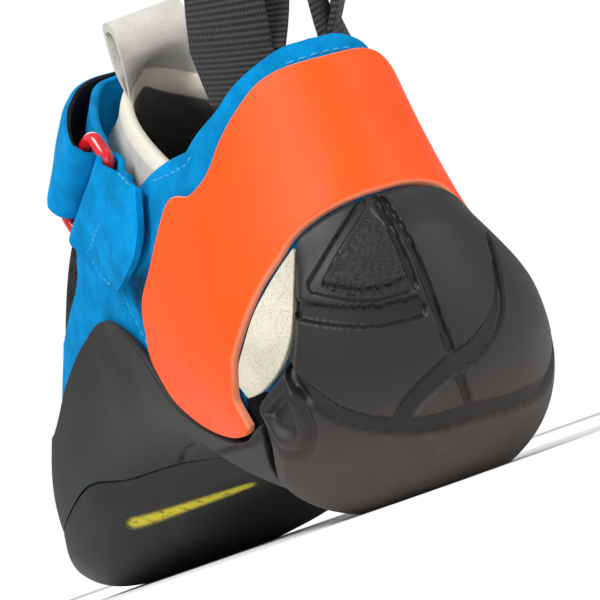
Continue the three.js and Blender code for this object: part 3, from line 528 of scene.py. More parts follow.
class Graph:
    """One material's nodes."""

    def __init__(self, name):
        self.material = bpy.data.materials.new(name)
        self.material.use_nodes = True
        self.tree = self.material.node_tree
        self.shader = self.tree.nodes["Principled BSDF"]

    def node(self, kind, settings=None, inputs=None, output=0):
        """Adds a node of a kind, sets it up, fills or links its sockets and returns one output."""
        made = self.tree.nodes.new(kind)
        for key, value in (settings or {}).items():
            if key == "stops":
                ramp = made.color_ramp
                while len(ramp.elements) < len(value):
                    ramp.elements.new(0.5)
                for element, (position, color) in zip(ramp.elements, value):
                    element.position = position
                    element.color = (*color, 1) if len(color) == 3 else color
            else:
                setattr(made, key, value)
        pairs = inputs.items() if isinstance(inputs, dict) else enumerate(inputs or [])
        for key, value in pairs:
            self.fill(made.inputs[key], value)
        return Wire(self, made.outputs[output])

    def fill(self, socket, value):
        if isinstance(value, Wire):
            self.tree.links.new(value.socket, socket)
        elif hasattr(socket.default_value, "__len__") and len(socket.default_value) == 4:
            socket.default_value = (*value, 1) if len(value) == 3 else value
        else:
            socket.default_value = value

    def finish(self, **inputs):
        for name, value in inputs.items():
            socket = name.replace("_", " ").title().replace("Ior", "IOR")
            self.fill(self.shader.inputs[socket], value)
        return self.material

    def place(self):
        return self.node("ShaderNodeTexCoord", output="Object")

    def mark(self, name):
        return self.node("ShaderNodeAttribute", {"attribute_name": name}, output="Fac")

    def cloth(self):
        return self.node("ShaderNodeUVMap", {"uv_map": "cloth"})

    def noise(self, scale, detail=3.0, roughness=0.55, at=None):
        return self.node("ShaderNodeTexNoise", None, {
            "Vector": at or self.place(), "Scale": scale, "Detail": detail,
            "Roughness": roughness,
        })

    def cells(self, scale, feature="F1", at=None, randomness=1.0):
        return self.node("ShaderNodeTexVoronoi", {"feature": feature}, {
            "Vector": at or self.place(), "Scale": scale, "Randomness": randomness,
        })

    def stretched(self, scale):
        return self.node("ShaderNodeMapping", None, {"Vector": self.place(), "Scale": scale})

    def axes(self, at):
        made = self.tree.nodes.new("ShaderNodeSeparateXYZ")
        self.tree.links.new(at.socket, made.inputs[0])
        return [Wire(self, socket) for socket in made.outputs]

    def blend(self, share, first, second, how="MIX"):
        return self.node("ShaderNodeMix", {"data_type": "RGBA", "blend_type": how}, {
            "Factor": share, 6: first, 7: second,
        }, output=2)

    def bump(self, height, distance, strength=1.0, under=None):
        inputs = {"Height": height, "Distance": distance, "Strength": strength}
        if under is not None:
            inputs["Normal"] = under
        return self.node("ShaderNodeBump", None, inputs)


def shade(color, factor):
    return tuple(min(channel * factor, 1) for channel in color)


def suede(name, color):
    """Napped leather: a fine fibrous pile, brushed lighter and darker in soft patches."""
    g = Graph(name)
    patches = g.noise(140, 4).steps(0.35, 0.68)
    fibres = g.noise(2600, 5, 0.75)
    pores = g.cells(1500).steps(0.0, 0.55)
    tone = g.blend(patches, shade(color, 0.78), shade(color, 1.16))
    tone = g.blend(fibres.steps(0.3, 0.72) * 0.55, tone, shade(color, 0.6))
    tone = g.blend((1 - pores) * 0.3, tone, shade(color, 0.42))
    pile = fibres * 0.7 + pores * 0.3
    return g.finish(base_color=tone, roughness=0.95, normal=g.bump(pile, 0.0005, 0.8),
                    specular_ior_level=0.06)


def upper_cover(name, color, mesh_color):
    """The upper's outside: suede, with mesh where the mark mesh says so, and painted dark navy
    shade over the recessed panel.
    """
    g = Graph(name)
    patches = g.noise(140, 4).steps(0.35, 0.68)
    fibres = g.noise(2600, 5, 0.75)
    tone = g.blend(patches, shade(color, 0.78), shade(color, 1.14))
    tone = g.blend(fibres.steps(0.3, 0.72) * 0.55, tone, shade(color, 0.6))
    holes = g.cells(620, randomness=0.2).steps(0.2, 0.45)
    net = g.blend(holes, shade(mesh_color, 0.3), shade(mesh_color, 1.7))
    zone = g.mark("mesh").steps(0.4, 0.6)
    tone = g.blend(zone, tone, net)
    # Painted shade: the recessed panel is darkened to a blotchy dark navy, where shadow falls in
    # it.
    soil = (g.mark("soil") * (0.55 + g.noise(420, 4) * 0.9)).clamped()
    tone = g.blend(soil, tone, (0.006, 0.018, 0.045))
    tone = g.blend(g.mark("fill").steps(0.3, 0.7), tone, (0.008, 0.008, 0.008))
    pile = fibres * (1 - zone) + holes * zone
    return g.finish(base_color=tone, roughness=0.93, normal=g.bump(pile, 0.0005, 0.8),
                    specular_ior_level=0.06)


def rubber(name, color, roughness=0.5, grain=0.5, dust=0.25):
    """Moulded black rubber: a fine grain, a few scuffs and thin pale dust."""
    g = Graph(name)
    fine = g.noise(3200, 3, 0.6)
    cloud = g.noise(55, 5, 0.6)
    scuffs = g.noise(420, 6, 0.75, g.stretched((1, 4, 1))).steps(0.58, 0.78)
    dusty = (cloud.steps(0.42, 0.75) * dust + scuffs * dust * 0.6).clamped()
    tone = g.blend(dusty * 0.55, color, (0.12, 0.105, 0.09))
    rough = (roughness + fine * 0.08 + dusty * 0.35).clamped()
    return g.finish(base_color=tone, roughness=rough, normal=g.bump(fine, 0.00012, grain),
                    specular_ior_level=0.3)


def pod_rubber(name, color):
    """The heel's rubber: pebbled where the mark says so, brown dust worn into its lower edge, and
    painted shade darkening its grooves.
    """
    g = Graph(name)
    fine = g.noise(2600, 3, 0.6)
    pebbles = g.cells(1050).steps(0.1, 0.6)
    zone = g.mark("pebble").steps(0.35, 0.65)
    low = g.mark("wear")
    worn = (low * (0.3 + g.noise(210, 6, 0.7) * 1.1)).clamped()
    nicks = (g.cells(170, at=g.place()).steps(0.03, 0.11) - 1.0) * -1.0
    tone = g.blend(worn * 0.55, color, (0.13, 0.105, 0.085))
    tone = g.blend((nicks * low * 0.7).clamped(), tone, (0.005, 0.005, 0.005))
    # Painted shade: the grooves and the teardrop's hollow are darkened towards black.
    groove = g.mark("groove")
    tone = g.blend(groove * 0.6, tone, (0.004, 0.004, 0.004))
    rough = (0.42 + fine * 0.1 + worn * 0.35 + zone * 0.12).clamped()
    height = fine * 0.16 + (1 - pebbles) * zone * 0.9 - nicks * low * 0.8
    return g.finish(base_color=tone, roughness=rough, normal=g.bump(height, 0.0004, 0.75),
                    specular_ior_level=0.35)


def orange_rubber(name, color, edge_color):
    """Smooth stretched rubber with a thin pale cut edge and faint handling marks."""
    g = Graph(name)
    fine = g.noise(1700, 3, 0.6)
    cloud = g.noise(45, 4, 0.55).steps(0.3, 0.75)
    tone = g.blend(cloud * 0.35, color, shade(color, 0.78))
    marks = g.noise(330, 6, 0.8, g.stretched((1, 1, 3))).steps(0.66, 0.8)
    tone = g.blend(marks * 0.25, tone, shade(color, 0.55))
    tone = g.blend(g.mark("edge") * 0.75, tone, edge_color)
    rough = (0.4 + fine * 0.1 + cloud * 0.08).clamped()
    return g.finish(base_color=tone, roughness=rough, normal=g.bump(fine, 0.0001, 0.5),
                    specular_ior_level=0.2)


def speckled_rubber(name, color):
    """Pale rubber with fine dark and brown specks."""
    g = Graph(name)
    specks = g.noise(2100, 2, 0.5).steps(0.56, 0.68)
    dark = g.cells(1100).steps(0.09, 0.16)
    tone = g.blend(g.noise(120, 4).steps(0.3, 0.7), shade(color, 0.86), shade(color, 1.08))
    tone = g.blend(specks * 0.25, tone, shade(color, 0.6))
    tone = g.blend((1 - dark) * 0.45, tone, (0.12, 0.11, 0.09))
    return g.finish(base_color=tone, roughness=0.8, normal=g.bump(specks, 0.0002, 0.6),
                    specular_ior_level=0.3)


def webbing(name, color):
    """Ribbed webbing: ribs across the band, each a row of small twisted threads, with painted shade
    in the hollows and a painted highlight on the crowns.
    """
    g = Graph(name)
    along, across, _ = g.axes(g.cloth())
    rib = (along * 4600).math("SINE") * 0.5 + 0.5
    thread = ((across * 9000) + (along * 4600).math("SINE") * 1.4).math("SINE") * 0.5 + 0.5
    height = rib * 0.7 + thread * 0.3
    # Painted shade and highlight: the hollows between ribs and threads are darkened and their
    # crowns lightened.
    tone = g.blend(height.steps(0.2, 0.9), shade(color, 0.35), shade(color, 2.4))
    fuzz = g.noise(3000, 4)
    tone = g.blend(fuzz.steps(0.6, 0.8) * 0.3, tone, shade(color, 5))
    return g.finish(base_color=tone, roughness=0.85, normal=g.bump(height, 0.0005, 0.9),
                    sheen_weight=0.1, specular_ior_level=0.3)


def microfibre(name, color):
    """Soft synthetic leather with a faint even grain and light handling marks."""
    g = Graph(name)
    grain = g.cells(1700).steps(0.0, 0.6)
    fibres = g.noise(1900, 4, 0.7)
    tone = g.blend(g.noise(90, 4).steps(0.3, 0.72), shade(color, 0.82), shade(color, 1.08))
    tone = g.blend(g.mark("face") * 0.85, tone, (0.018, 0.018, 0.02))
    tone = g.blend(fibres.steps(0.5, 0.8) * 0.25, tone, shade(color, 0.6))
    tone = g.blend(g.mark("rim") * 0.8, tone, (0.74, 0.7, 0.58))
    height = grain * 0.5 + fibres * 0.5
    return g.finish(base_color=tone, roughness=0.9, normal=g.bump(height, 0.0003, 0.6),
                    sheen_weight=0.15, specular_ior_level=0.2)


def pile(name, color):
    """Fuzzy hook lining: short stiff fibres."""
    g = Graph(name)
    fibres = g.noise(3600, 5, 0.8)
    tufts = g.cells(1500).steps(0.0, 0.5)
    tone = g.blend(fibres.steps(0.35, 0.75), shade(color, 0.5), shade(color, 3.2))
    return g.finish(base_color=tone, roughness=0.95,
                    normal=g.bump(fibres * 0.6 + tufts * 0.4, 0.0006, 0.9),
                    specular_ior_level=0.2)


def gloss_plastic(name, color):
    """Moulded glossy plastic with faint flow marks."""
    g = Graph(name)
    cloud = g.noise(160, 3)
    tone = g.blend(cloud.steps(0.35, 0.7) * 0.4, color, shade(color, 0.7))
    rough = (0.16 + g.noise(900, 3) * 0.1).clamped()
    return g.finish(base_color=tone, roughness=rough, specular_ior_level=0.6, coat_weight=0.3,
                    normal=g.bump(cloud, 0.0002, 0.3))


def thread(name, color):
    """Twisted sewing thread."""
    g = Graph(name)
    twist = g.noise(2600, 2).steps(0.35, 0.65)
    tone = g.blend(twist, shade(color, 0.6), shade(color, 1.2))
    return g.finish(base_color=tone, roughness=0.75, normal=g.bump(twist, 0.0001, 0.6))


def painted_floor(name, color):
    """A plain pale floor with a barely seen unevenness."""
    g = Graph(name)
    cloud = g.noise(3, 2)
    tone = g.blend(cloud.steps(0.3, 0.7), color, shade(color, 0.985))
    return g.finish(base_color=tone, roughness=0.85, specular_ior_level=0.1)


# Sizes and colours that a user may change


def length(name, description, default):
    return FloatProperty(name=name, description=description, default=default * MM,
                         unit="LENGTH", min=0.0, precision=5)


def colour(name, description, default):
    return FloatVectorProperty(name=name, description=description, default=default,
                               subtype="COLOR", min=0.0, max=1.0)


class ShoeSizes(bpy.types.PropertyGroup):
    wall: length("Upper wall", "Thickness of the upper", 2.0)
    layer_gap: length("Layer gap", "Height of the rubber's underside over the last", 0.8)
    sole: length("Sole", "Thickness of the forefoot's rubber", 4.9)
    sole_edge: length("Sole edge", "Thickness of the forefoot's rubber at its edge", 2.1)
    sole_round: length("Sole round", "How far in the sole's edge is rounded", 11)
    pod: length("Heel pod", "Thickness of the heel's rubber", 4.7)
    pod_edge: length("Pod edge", "Thickness of the heel's rubber at its edge", 2.4)
    pod_round: length("Pod round", "How far in the pod's edge is rounded", 13)
    groove_depth: length("Groove depth", "Depth of the pod's grooves", 1.3)
    groove_width: length("Groove width", "Width of the pod's grooves", 2.3)
    rand: length("Rand", "Thickness of the black rand", 1.6)
    sling: length("Slingshot rand", "Thickness of the orange rand", 1.9)
    insert: length("Heel insert", "Thickness of the speckled rubber", 1.5)
    insole: length("Insole", "Thickness of the insole", 1.6)
    tongue: length("Tongue", "Thickness of the tongue", 3.2)
    strap: length("Strap", "Thickness of the strap", 2.2)
    ring_wire: length("Ring wire", "Diameter of the ring's wire", 3.4)
    ring_length: length("Ring length", "Length of the ring", 33)
    ring_depth: length("Ring depth", "Short way of the ring", 13)
    ring_gap: length("Ring gap", "Room between the strap and the ring", 1.3)
    tab: length("Tab", "Thickness of one layer of the ring's tab", 1.6)
    webbing: length("Webbing", "Thickness of the pull loops' webbing", 1.5)
    webbing_width: length("Webbing width", "Width of the pull loops' webbing", 17)
    thread: length("Thread", "Diameter of the sewing thread", 0.55)


class ShoeColours(bpy.types.PropertyGroup):
    suede: colour("Suede", "Blue suede", (0.001, 0.27, 0.63))
    orange: colour("Orange rubber", "Slingshot rand", (0.95, 0.078, 0.004))
    orange_edge: colour("Cut edge", "Cut edge of the orange rubber", (0.95, 0.42, 0.25))
    black: colour("Black rubber", "Soles and rand", (0.009, 0.009, 0.0095))
    insert: colour("Insert", "Speckled rubber", (0.56, 0.53, 0.43))
    tongue: colour("Tongue", "Microfibre", (0.55, 0.53, 0.48))
    cloth: colour("Black cloth", "Webbing, mesh and lining", (0.014, 0.014, 0.015))
    ring: colour("Ring", "Red plastic", (0.62, 0.008, 0.012))
    thread: colour("Thread", "Blue thread", (0.02, 0.33, 0.68))
    bar: colour("Bar", "Plain bar on the sole", (0.72, 0.63, 0.03))


class StageLook(bpy.types.PropertyGroup):
    floor: colour("Floor", "Floor and backdrop", (1.0, 1.0, 1.0))
    key: FloatProperty(name="Key light", description="Power of the main light", default=15.0,
                       unit="POWER", min=0.0)
    fill: FloatProperty(name="Fill light", description="Power of the fill light", default=5.0,
                        unit="POWER", min=0.0)
    sky: FloatProperty(name="Sky", description="Strength of the even light", default=0.5, min=0.0)


def settings():
    scene = bpy.context.scene
    return scene.shoe_sizes, scene.shoe_colours


def stitches(name, path, height, material, pitch=2.6 * MM, radius=0.32 * MM):
    """A row of stitches that follows a path on the shoe: short rounded threads, each sunk at
    both ends."""
    station, turn = line(path)(np.linspace(0, 1, 400))
    points = surface(station, turn, height + 0 * station)
    walked = np.concatenate([[0], np.cumsum(np.linalg.norm(np.diff(points, axis=0), axis=1))])
    at = np.arange(0.5 * pitch, walked[-1], pitch)
    middle = np.stack([np.interp(at, walked, points[:, k]) for k in range(3)], 1)
    ahead = np.stack([np.interp(at + 0.1 * MM, walked, points[:, k]) for k in range(3)], 1)
    heading = unit(ahead - middle)
    up = last_normal(np.interp(at, walked, station), np.interp(at, walked, turn))
    side = unit(np.cross(up, heading))
    reach, round_turn = np.meshgrid(np.linspace(-1, 1, 9), np.linspace(0, 2 * np.pi, 9)[:-1],
                                    indexing="ij")
    fat = radius * np.sqrt(np.maximum(1 - reach ** 4, 0.02))
    long = reach * 0.36 * pitch
    spots = (middle[:, None, None] + long[..., None] * heading[:, None, None]
             + (np.cos(round_turn) * fat)[..., None] * side[:, None, None]
             + (np.sin(round_turn) * fat - 0.25 * radius)[..., None] * up[:, None, None])
    rows, columns = reach.shape
    one = sheet_faces(rows, columns, 0, True)
    faces = np.concatenate([one + k * rows * columns for k in range(len(at))])
    mesh = bpy.data.meshes.new(name)
    mesh.from_pydata(spots.reshape(-1, 3).tolist(), [], faces.tolist())
    mesh.shade_smooth()
    return place_object(name, mesh, [material])


# The upper

MESH_ZONE = [
    [11.3, -0.372], [10.85, -0.355], [10.4, -0.333], [9.5, -0.33], [8.75, -0.343], [8.4, -0.37],
    [8.8, -0.4], [10.2, -0.415], [11.2, -0.4],
]
RECESS = [
    [15.9, -0.276], [15.4, -0.292], [14.2, -0.301], [12.9, -0.302], [12.5, -0.285], [13.2, -0.279],
    [14.2, -0.289], [15.06, -0.288],
]
ARCH_FILL = [
    [14.75, -0.206], [14.7, -0.18], [14.4, -0.155], [13.4, -0.13],
    [12.7, -0.15], [12.8, -0.22], [14, -0.195],
]
# The pod's edge lies this far below and inside the slingshot rand's, as a station and a share.
POD_BELOW_SLING = 0.035
POD_INSIDE_SLING = 0.98
# Half the floor's side, in metres.
FLOOR_HALF = 3.0
# Rows of stitches as a path and a height: on the upper, and on the ring's tab.
SEWING = [
    ([[12.15, -0.27], [12.3, -0.29], [12.4, -0.31], [12.2, -0.335], [11.8, -0.35]], 0.0),
    ([[16.25, -0.296], [16.6, -0.28], [17.1, -0.255], [17.5, -0.23]], 0.0),
    ([[15.65, -0.327], [14.9, -0.33], [13.4, -0.331], [12.5, -0.329]], 4.2),
    ([[12.5, -0.325], [12.65, -0.315], [12.95, -0.306]], 3.9),
    ([[15.9, -0.322], [15.95, -0.312], [15.95, -0.304]], 3.9),
    ([[18.95, 0.06], [19.0, 0.03], [19.02, 0], [19.0, -0.03], [18.95, -0.06]], 0.0),
]
SIDE_SEAM = [[12.3, -0.33], [12.55, -0.31], [12.5, -0.29], [12.2, -0.272]]
CREASES = [
    ([[13.0, -0.31], [12.6, -0.33], [12.3, -0.36]], 3.0, -0.7),
    ([[17.6, -0.19], [17.0, -0.232], [16.4, -0.26]], 2.5, -0.5),
    ([[9.8, 0.42], [9.3, 0.45], [9.1, 0.5], [9.3, 0.55]], 4.0, -0.8),
    ([[11.0, 0.33], [10.7, 0.36], [10.2, 0.39]], 3.0, -0.6),
    ([[17.9, 0.06], [17.8, 0.0], [17.9, -0.06]], 4.0, -0.5),
    ([[16.4, 0.2], [15.8, 0.22], [15.2, 0.23]], 3.0, -0.5),
    ([[13.6, 0.29], [13.0, 0.32], [12.6, 0.35]], 3.0, -0.6),
]


class SHOE_OT_upper(bpy.types.Operator):
    """Build the suede upper with its mesh zone, seams, creases and black lining"""

    bl_idname = "shoe.upper"
    bl_label = "Upper"

    def execute(self, context):
        sizes, colours = settings()
        collar = line(COLLAR_HALF + [[s, 1 - t] for s, t in COLLAR_HALF[-2::-1]])
        around = np.linspace(0, 1, 361)[:-1]
        along = 1 - (1 - np.linspace(0, 1, 171)) ** 1.15
        edge_station, turn = collar(around)
        station = along[:, None] * edge_station[None, :]
        turn = np.broadcast_to(turn[None, :], station.shape)
        signed = np.where(turn > 0.5, turn - 1, turn)
        points = last_point(station, turn)
        from_collar = (1 - along[:, None]) * edge_station[None, :] * STATION_STEP * MM
        relief = np.zeros_like(station)
        for path, width, depth in CREASES:
            own_side = np.where(min(t for _, t in path) < 0, signed, turn)
            distance = path_distance(station, own_side, path)
            relief += depth * MM * np.exp(-(distance / (width * MM)) ** 2)
        relief += 0.12 * MM * waves(points, 0.03, 4)
        mesh_depth = depth_inside(station, signed, MESH_ZONE)
        zone = smooth(mesh_depth / (0.6 * MM) + 0.5)
        relief -= 0.5 * MM * zone
        seam = path_distance(station, signed, SIDE_SEAM)
        relief -= 0.4 * MM * np.exp(-(seam / (0.6 * MM)) ** 2)
        recess = smooth(depth_inside(station, signed, RECESS) / (1.2 * MM) + 0.4)
        relief -= 0.5 * MM * recess
        roll = 0.5 * sizes.wall * (1 - rounded(from_collar + 0.02 * MM, 0.5 * sizes.wall))
        outer = surface(station, turn, relief - roll)
        inner = surface(station, turn, roll - sizes.wall + 0 * station)
        fill = smooth(depth_inside(station, signed, ARCH_FILL) / (1 * MM) + 0.5)
        # Painted shade over the recessed panel, which the upper's material darkens to dark navy.
        soil = 0.75 * recess
        cover = upper_cover("blue suede and mesh", colours.suede, colours.cloth)
        lining = pile("black lining", colours.cloth)
        yarn = thread("blue thread", colours.thread)
        for number, (path, lift) in enumerate(SEWING):
            stitches(f"stitches_{number + 1}", path, lift * MM, yarn)
        shell("upper_shell", outer, inner, [cover, lining], ["upper"], ring=True,
              marks={"mesh": zone, "soil": soil, "fill": fill}, inner_material=1)
        return {"FINISHED"}


class SHOE_OT_insole(bpy.types.Operator):
    """Build the insole"""

    bl_idname = "shoe.insole"
    bl_label = "Insole"

    def execute(self, context):
        sizes, colours = settings()
        station, half = line(INSOLE)(np.linspace(0, 1, 101))
        side = edged(30) * 2 - 1
        station, turn = station[:, None] + 0 * side, half[:, None] * side
        top = -sizes.wall - 1.3 * MM
        edge = rounded((1 - np.abs(side))[None, :] * half[:, None] * TURN_LENGTH * MM, 1.5 * MM)
        outer = surface(station, turn, top + 0 * station)
        inner = surface(station, turn, top - sizes.insole * (0.3 + 0.7 * edge))
        shell("insole_sheet", inner, outer, [pile("insole cloth", shade(colours.cloth, 1.6))],
              ["insole"])
        return {"FINISHED"}


class SHOE_OT_soles(bpy.types.Operator):
    """Build the forefoot's sole and the black rand round it"""

    bl_idname = "shoe.soles"
    bl_label = "Sole and rand"

    def execute(self, context):
        sizes, colours = settings()
        middle = len(SOLE_OUTLINE) // 2
        outer_line = line(SOLE_OUTLINE[3:middle + 1])
        inner_line = line(SOLE_OUTLINE[middle:len(SOLE_OUTLINE) - 3][::-1])
        along = mix(np.linspace(0, 1, 201), edged(200), 0.5)
        grid = between(inner_line, outer_line, along, edged(120), 0.6 * MM)
        station, turn = grid["station"], grid["turn"]
        thick = mix(sizes.sole_edge, sizes.sole, smooth(grid["edge"] / sizes.sole_round))
        thick *= 0.25 + 0.75 * rounded(grid["edge"], 1.2 * MM)
        base = last_point(station, turn)
        thick += 0.06 * MM * waves(base, 0.02, 9) * smooth(grid["edge"] / (4 * MM))
        outer = surface(station, turn, sizes.layer_gap + thick)
        inner = surface(station, turn, sizes.layer_gap + 0 * station)
        outer[..., 2] = np.maximum(outer[..., 2], 0)
        inner[..., 2] = np.maximum(inner[..., 2], 0)
        bar = path_distance(station, turn, SOLE_BAR)
        marks = {"bar": 1 - smooth(bar / (1.5 * MM) - 0.5)}
        sole = rubber("sole rubber", colours.black, 0.55, 0.6, 0.35)
        painted_bar(sole, colours.bar)
        shell("forefoot_sole", outer, inner, [sole], ["outsole"], marks=marks)

        grid = between(line(SOLE_OUTLINE), line(RAND_OUTLINE), np.linspace(0, 1, 401)[:-1],
                       edged(70))
        station, turn = (grid[key].T for key in ("station", "turn"))
        edge = grid["second"].T
        thick = sizes.rand * (0.3 + 0.7 * rounded(edge, 1.4 * MM))
        thick += 0.1 * MM * waves(last_point(station, turn), 0.025, 12)
        seam = path_distance(station, turn, SOLE_SEAM)
        thick -= 0.9 * MM * np.exp(-(seam / (0.55 * MM)) ** 2)
        outer = surface(station, turn, sizes.layer_gap + 0.2 * MM + thick)
        inner = surface(station, turn, sizes.layer_gap + 0.2 * MM + 0 * station)
        shell("black_rand", outer, inner,
              [rubber("rand rubber", colours.black, 0.5, 0.4, 0.3)],
              ["toe_rand"], ring=True)
        return {"FINISHED"}


def painted_bar(material, color):
    """Lays a plain coloured bar over a rubber, where the mark bar says so."""
    g = Graph.__new__(Graph)
    g.material, g.tree = material, material.node_tree
    g.shader = g.tree.nodes["Principled BSDF"]
    tone = Wire(g, g.shader.inputs["Base Color"].links[0].from_socket)
    share = g.mark("bar") * g.noise(380, 5, 0.7).steps(0.28, 0.5)
    g.fill(g.shader.inputs["Base Color"], g.blend(share, tone, color))


class SHOE_OT_slingshot(bpy.types.Operator):
    """Build the orange slingshot rand"""

    bl_idname = "shoe.slingshot"
    bl_label = "Slingshot rand"

    def execute(self, context):
        sizes, colours = settings()
        grid = between(line(both_sides(SLING_UPPER)), line(both_sides(SLING_LOWER)),
                       np.linspace(0, 1, 361), edged(70))
        station, turn = grid["station"], grid["turn"]
        base = last_point(station, turn)
        ends = ends_distance(base)
        edge = np.minimum(grid["edge"], ends)
        thick = sizes.sling * (0.35 + 0.65 * rounded(edge, 1.0 * MM))
        thick += 0.1 * MM * waves(base, 0.022, 3)
        outer = surface(station, turn, sizes.layer_gap + thick)
        inner = surface(station, turn, sizes.layer_gap + 0 * station)
        marks = {"edge": np.exp(-(edge / (0.45 * MM)) ** 2)}
        shell("orange_rand", outer, inner,
              [orange_rubber("orange rubber", colours.orange, colours.orange_edge)],
              ["slingshot_rand"], marks=marks)
        return {"FINISHED"}


class SHOE_OT_heel(bpy.types.Operator):
    """Build the heel pod with its grooves, and the speckled insert beside it"""

    bl_idname = "shoe.heel"
    bl_label = "Heel"

    def execute(self, context):
        sizes, colours = settings()
        rim = SLING_LOWER[1:4][::-1] + mirrored(SLING_LOWER[:10])
        below = [[s - POD_BELOW_SLING, t * POD_INSIDE_SLING] for s, t in rim]
        upper_line = line(POD_INNER_EDGE + below)
        grid = between(line(POD_LOWER), upper_line, np.linspace(0, 1, 401), edged(230))
        station, turn = grid["station"], grid["turn"]
        base = last_point(station, turn)
        edge = np.minimum(grid["edge"], ends_distance(base))
        thick = mix(sizes.pod_edge, sizes.pod, smooth(grid["edge"] / sizes.pod_round))
        thick *= 0.3 + 0.7 * rounded(edge, 1.3 * MM)
        cut = np.zeros_like(station)
        for paths, width, depth in ((POD_GROOVES, 1.0, 1.0), (POD_LEGS, 0.72, 0.75)):
            for points in paths.values():
                distance = path_distance(station, turn, points)
                half = 0.5 * sizes.groove_width * width
                cut = np.maximum(cut, depth * (1 - smooth((distance / half - 0.72) / 0.4)))
        tab = depth_inside(station, turn, TEARDROP)
        lip = np.exp(-((tab - 1.0 * MM) / (0.9 * MM)) ** 2)
        hollow = smooth((tab - 1.4 * MM) / (1.4 * MM))
        moat = np.exp(-((tab + 0.9 * MM) / (0.7 * MM)) ** 2)
        pebble = smooth(depth_inside(station, turn, PEBBLED) / (0.8 * MM))
        height = thick - cut * sizes.groove_depth - 0.35 * MM * pebble
        height += (0.7 * lip - 1.3 * hollow - 0.7 * moat) * MM
        height = np.maximum(height, 0.5 * MM)
        outer = surface(station, turn, sizes.layer_gap + height)
        inner = surface(station, turn, sizes.layer_gap + 0 * station)
        outer[..., 2] = np.maximum(outer[..., 2], 0)
        inner[..., 2] = np.maximum(inner[..., 2], 0)
        low = smooth((26 * MM - outer[..., 2]) / (24 * MM))
        # The groove mark carries painted shade for the grooves and the teardrop's hollow.
        marks = {"pebble": pebble, "groove": np.clip(cut + hollow * 0.7, 0, 1), "wear": low}
        shell("heel_rubber", outer, inner, [pod_rubber("heel rubber", colours.black)],
              ["heel_pod"], marks=marks)

        grid = between(line(INSERT_FRONT), line(INSERT_REAR), np.linspace(0, 1, 121), edged(40))
        station, turn = grid["station"], grid["turn"]
        edge = np.minimum(grid["edge"], ends_distance(last_point(station, turn)))
        thick = sizes.insert * (0.5 + 0.5 * rounded(edge, 0.5 * MM))
        outer = surface(station, turn, sizes.layer_gap + thick)
        inner = surface(station, turn, sizes.layer_gap + 0 * station)
        shell("speckled_insert", outer, inner,
              [speckled_rubber("speckled rubber", colours.insert)],
              ["heel_insert"])
        return {"FINISHED"}


def drop(share, before, behind, height):
    """A drop-shaped loop from its foot round to its foot: how far out and how far up it is."""
    angle = 2 * np.pi * share
    swing = 1.3 * np.sin(angle) * np.sin(angle / 2)
    return swing * np.where(swing > 0, before, behind), height * (1 - np.cos(angle)) / 2


class SHOE_OT_tongue(bpy.types.Operator):
    """Build the tongue and its finger loop"""

    bl_idname = "shoe.tongue"
    bl_label = "Tongue"

    def execute(self, context):
        sizes, colours = settings()
        face = -sizes.wall - sizes.layer_gap
        station, half = line(TONGUE_HALF)(np.linspace(0, 1, 121))
        side = edged(60) * 2 - 1
        station, turn = station[:, None] + 0 * side, 0.5 + half[:, None] * side
        reach = half[:, None] * TURN_LENGTH * MM * (1 - np.abs(side))[None, :]
        ends = ends_distance(last_point(station, turn))
        edge = np.minimum(reach, ends)
        pinch = 0.5 * sizes.tongue * (1 - (0.45 + 0.55 * rounded(edge, 2.5 * MM)))
        outer = surface(station, turn, face - pinch)
        inner = surface(station, turn, face - sizes.tongue + pinch)
        marks = {"face": np.stack([0 * edge, smooth((edge - 3.2 * MM) / (0.6 * MM))]),
                 "rim": 1 - smooth((edge - 3.2 * MM) / (0.4 * MM))}
        shell("tongue_pad", outer, inner, [microfibre("tongue leather", colours.tongue)],
              ["tongue"], marks=marks)

        top = TONGUE_HALF[-1][0]
        upwards = unit(np.array([0, -0.12, 1]))
        forwards = unit(np.array([0, 1, 0.12]))
        u, v = np.meshgrid(np.linspace(0, 1, 61), np.linspace(0, 1, 97)[:-1], indexing="ij")
        seam = surface(top, 0.5 + (2 * u - 1) * 0.095, face - sizes.tongue / 2 + 0 * u)
        ends = surface(top, np.array([0.405, 0.595]), face - sizes.tongue / 2 + np.zeros(2))
        straight = mix(ends[0], ends[1], u[..., None]) + forwards * 2.5 * MM
        sheets = []
        for wall in (0, 2.2 * MM):
            height = 21 * MM - 2 * wall
            out, up = drop(v, 3 * MM - wall, 9 * MM - wall, height)
            foot = mix(seam, straight, smooth(2 * up / height)[..., None])
            sheets.append(foot + out[..., None] * forwards
                          + (up + wall - 1.6 * MM)[..., None] * upwards)
        shell("finger_loop", sheets[0], sheets[1],
              [microfibre("loop leather", shade(colours.tongue, 0.95))],
              ring=True, marks={"face": 0 * u})
        return {"FINISHED"}


RING_TIP = np.radians(16)


def ring_frame(sizes):
    """The ring's middle, long way, short way up the foot and way out, and half its inner height."""
    rear, front = ANCHOR_REAR[0], ANCHOR_FRONT[0]
    height = sizes.layer_gap + sizes.tab
    ends = surface(np.array([rear[0], front[0]]), np.array([rear[1], front[1]]),
                   np.full(2, height))
    long = unit(ends[0] - ends[1])
    out = last_normal((rear[0] + front[0]) / 2, (rear[1] + front[1]) / 2)
    short = unit(np.cross(long, out))
    out = unit(np.cross(short, long))
    short = short * np.sign(short[2])
    short, out = (short * np.cos(RING_TIP) + out * np.sin(RING_TIP),
                  out * np.cos(RING_TIP) - short * np.sin(RING_TIP))
    bar = (sizes.ring_depth - sizes.ring_wire) / 2
    reach = sizes.ring_wire / 2 + 0.3 * MM + bar
    return ends.mean(axis=0) + short * reach, long, short, out, bar


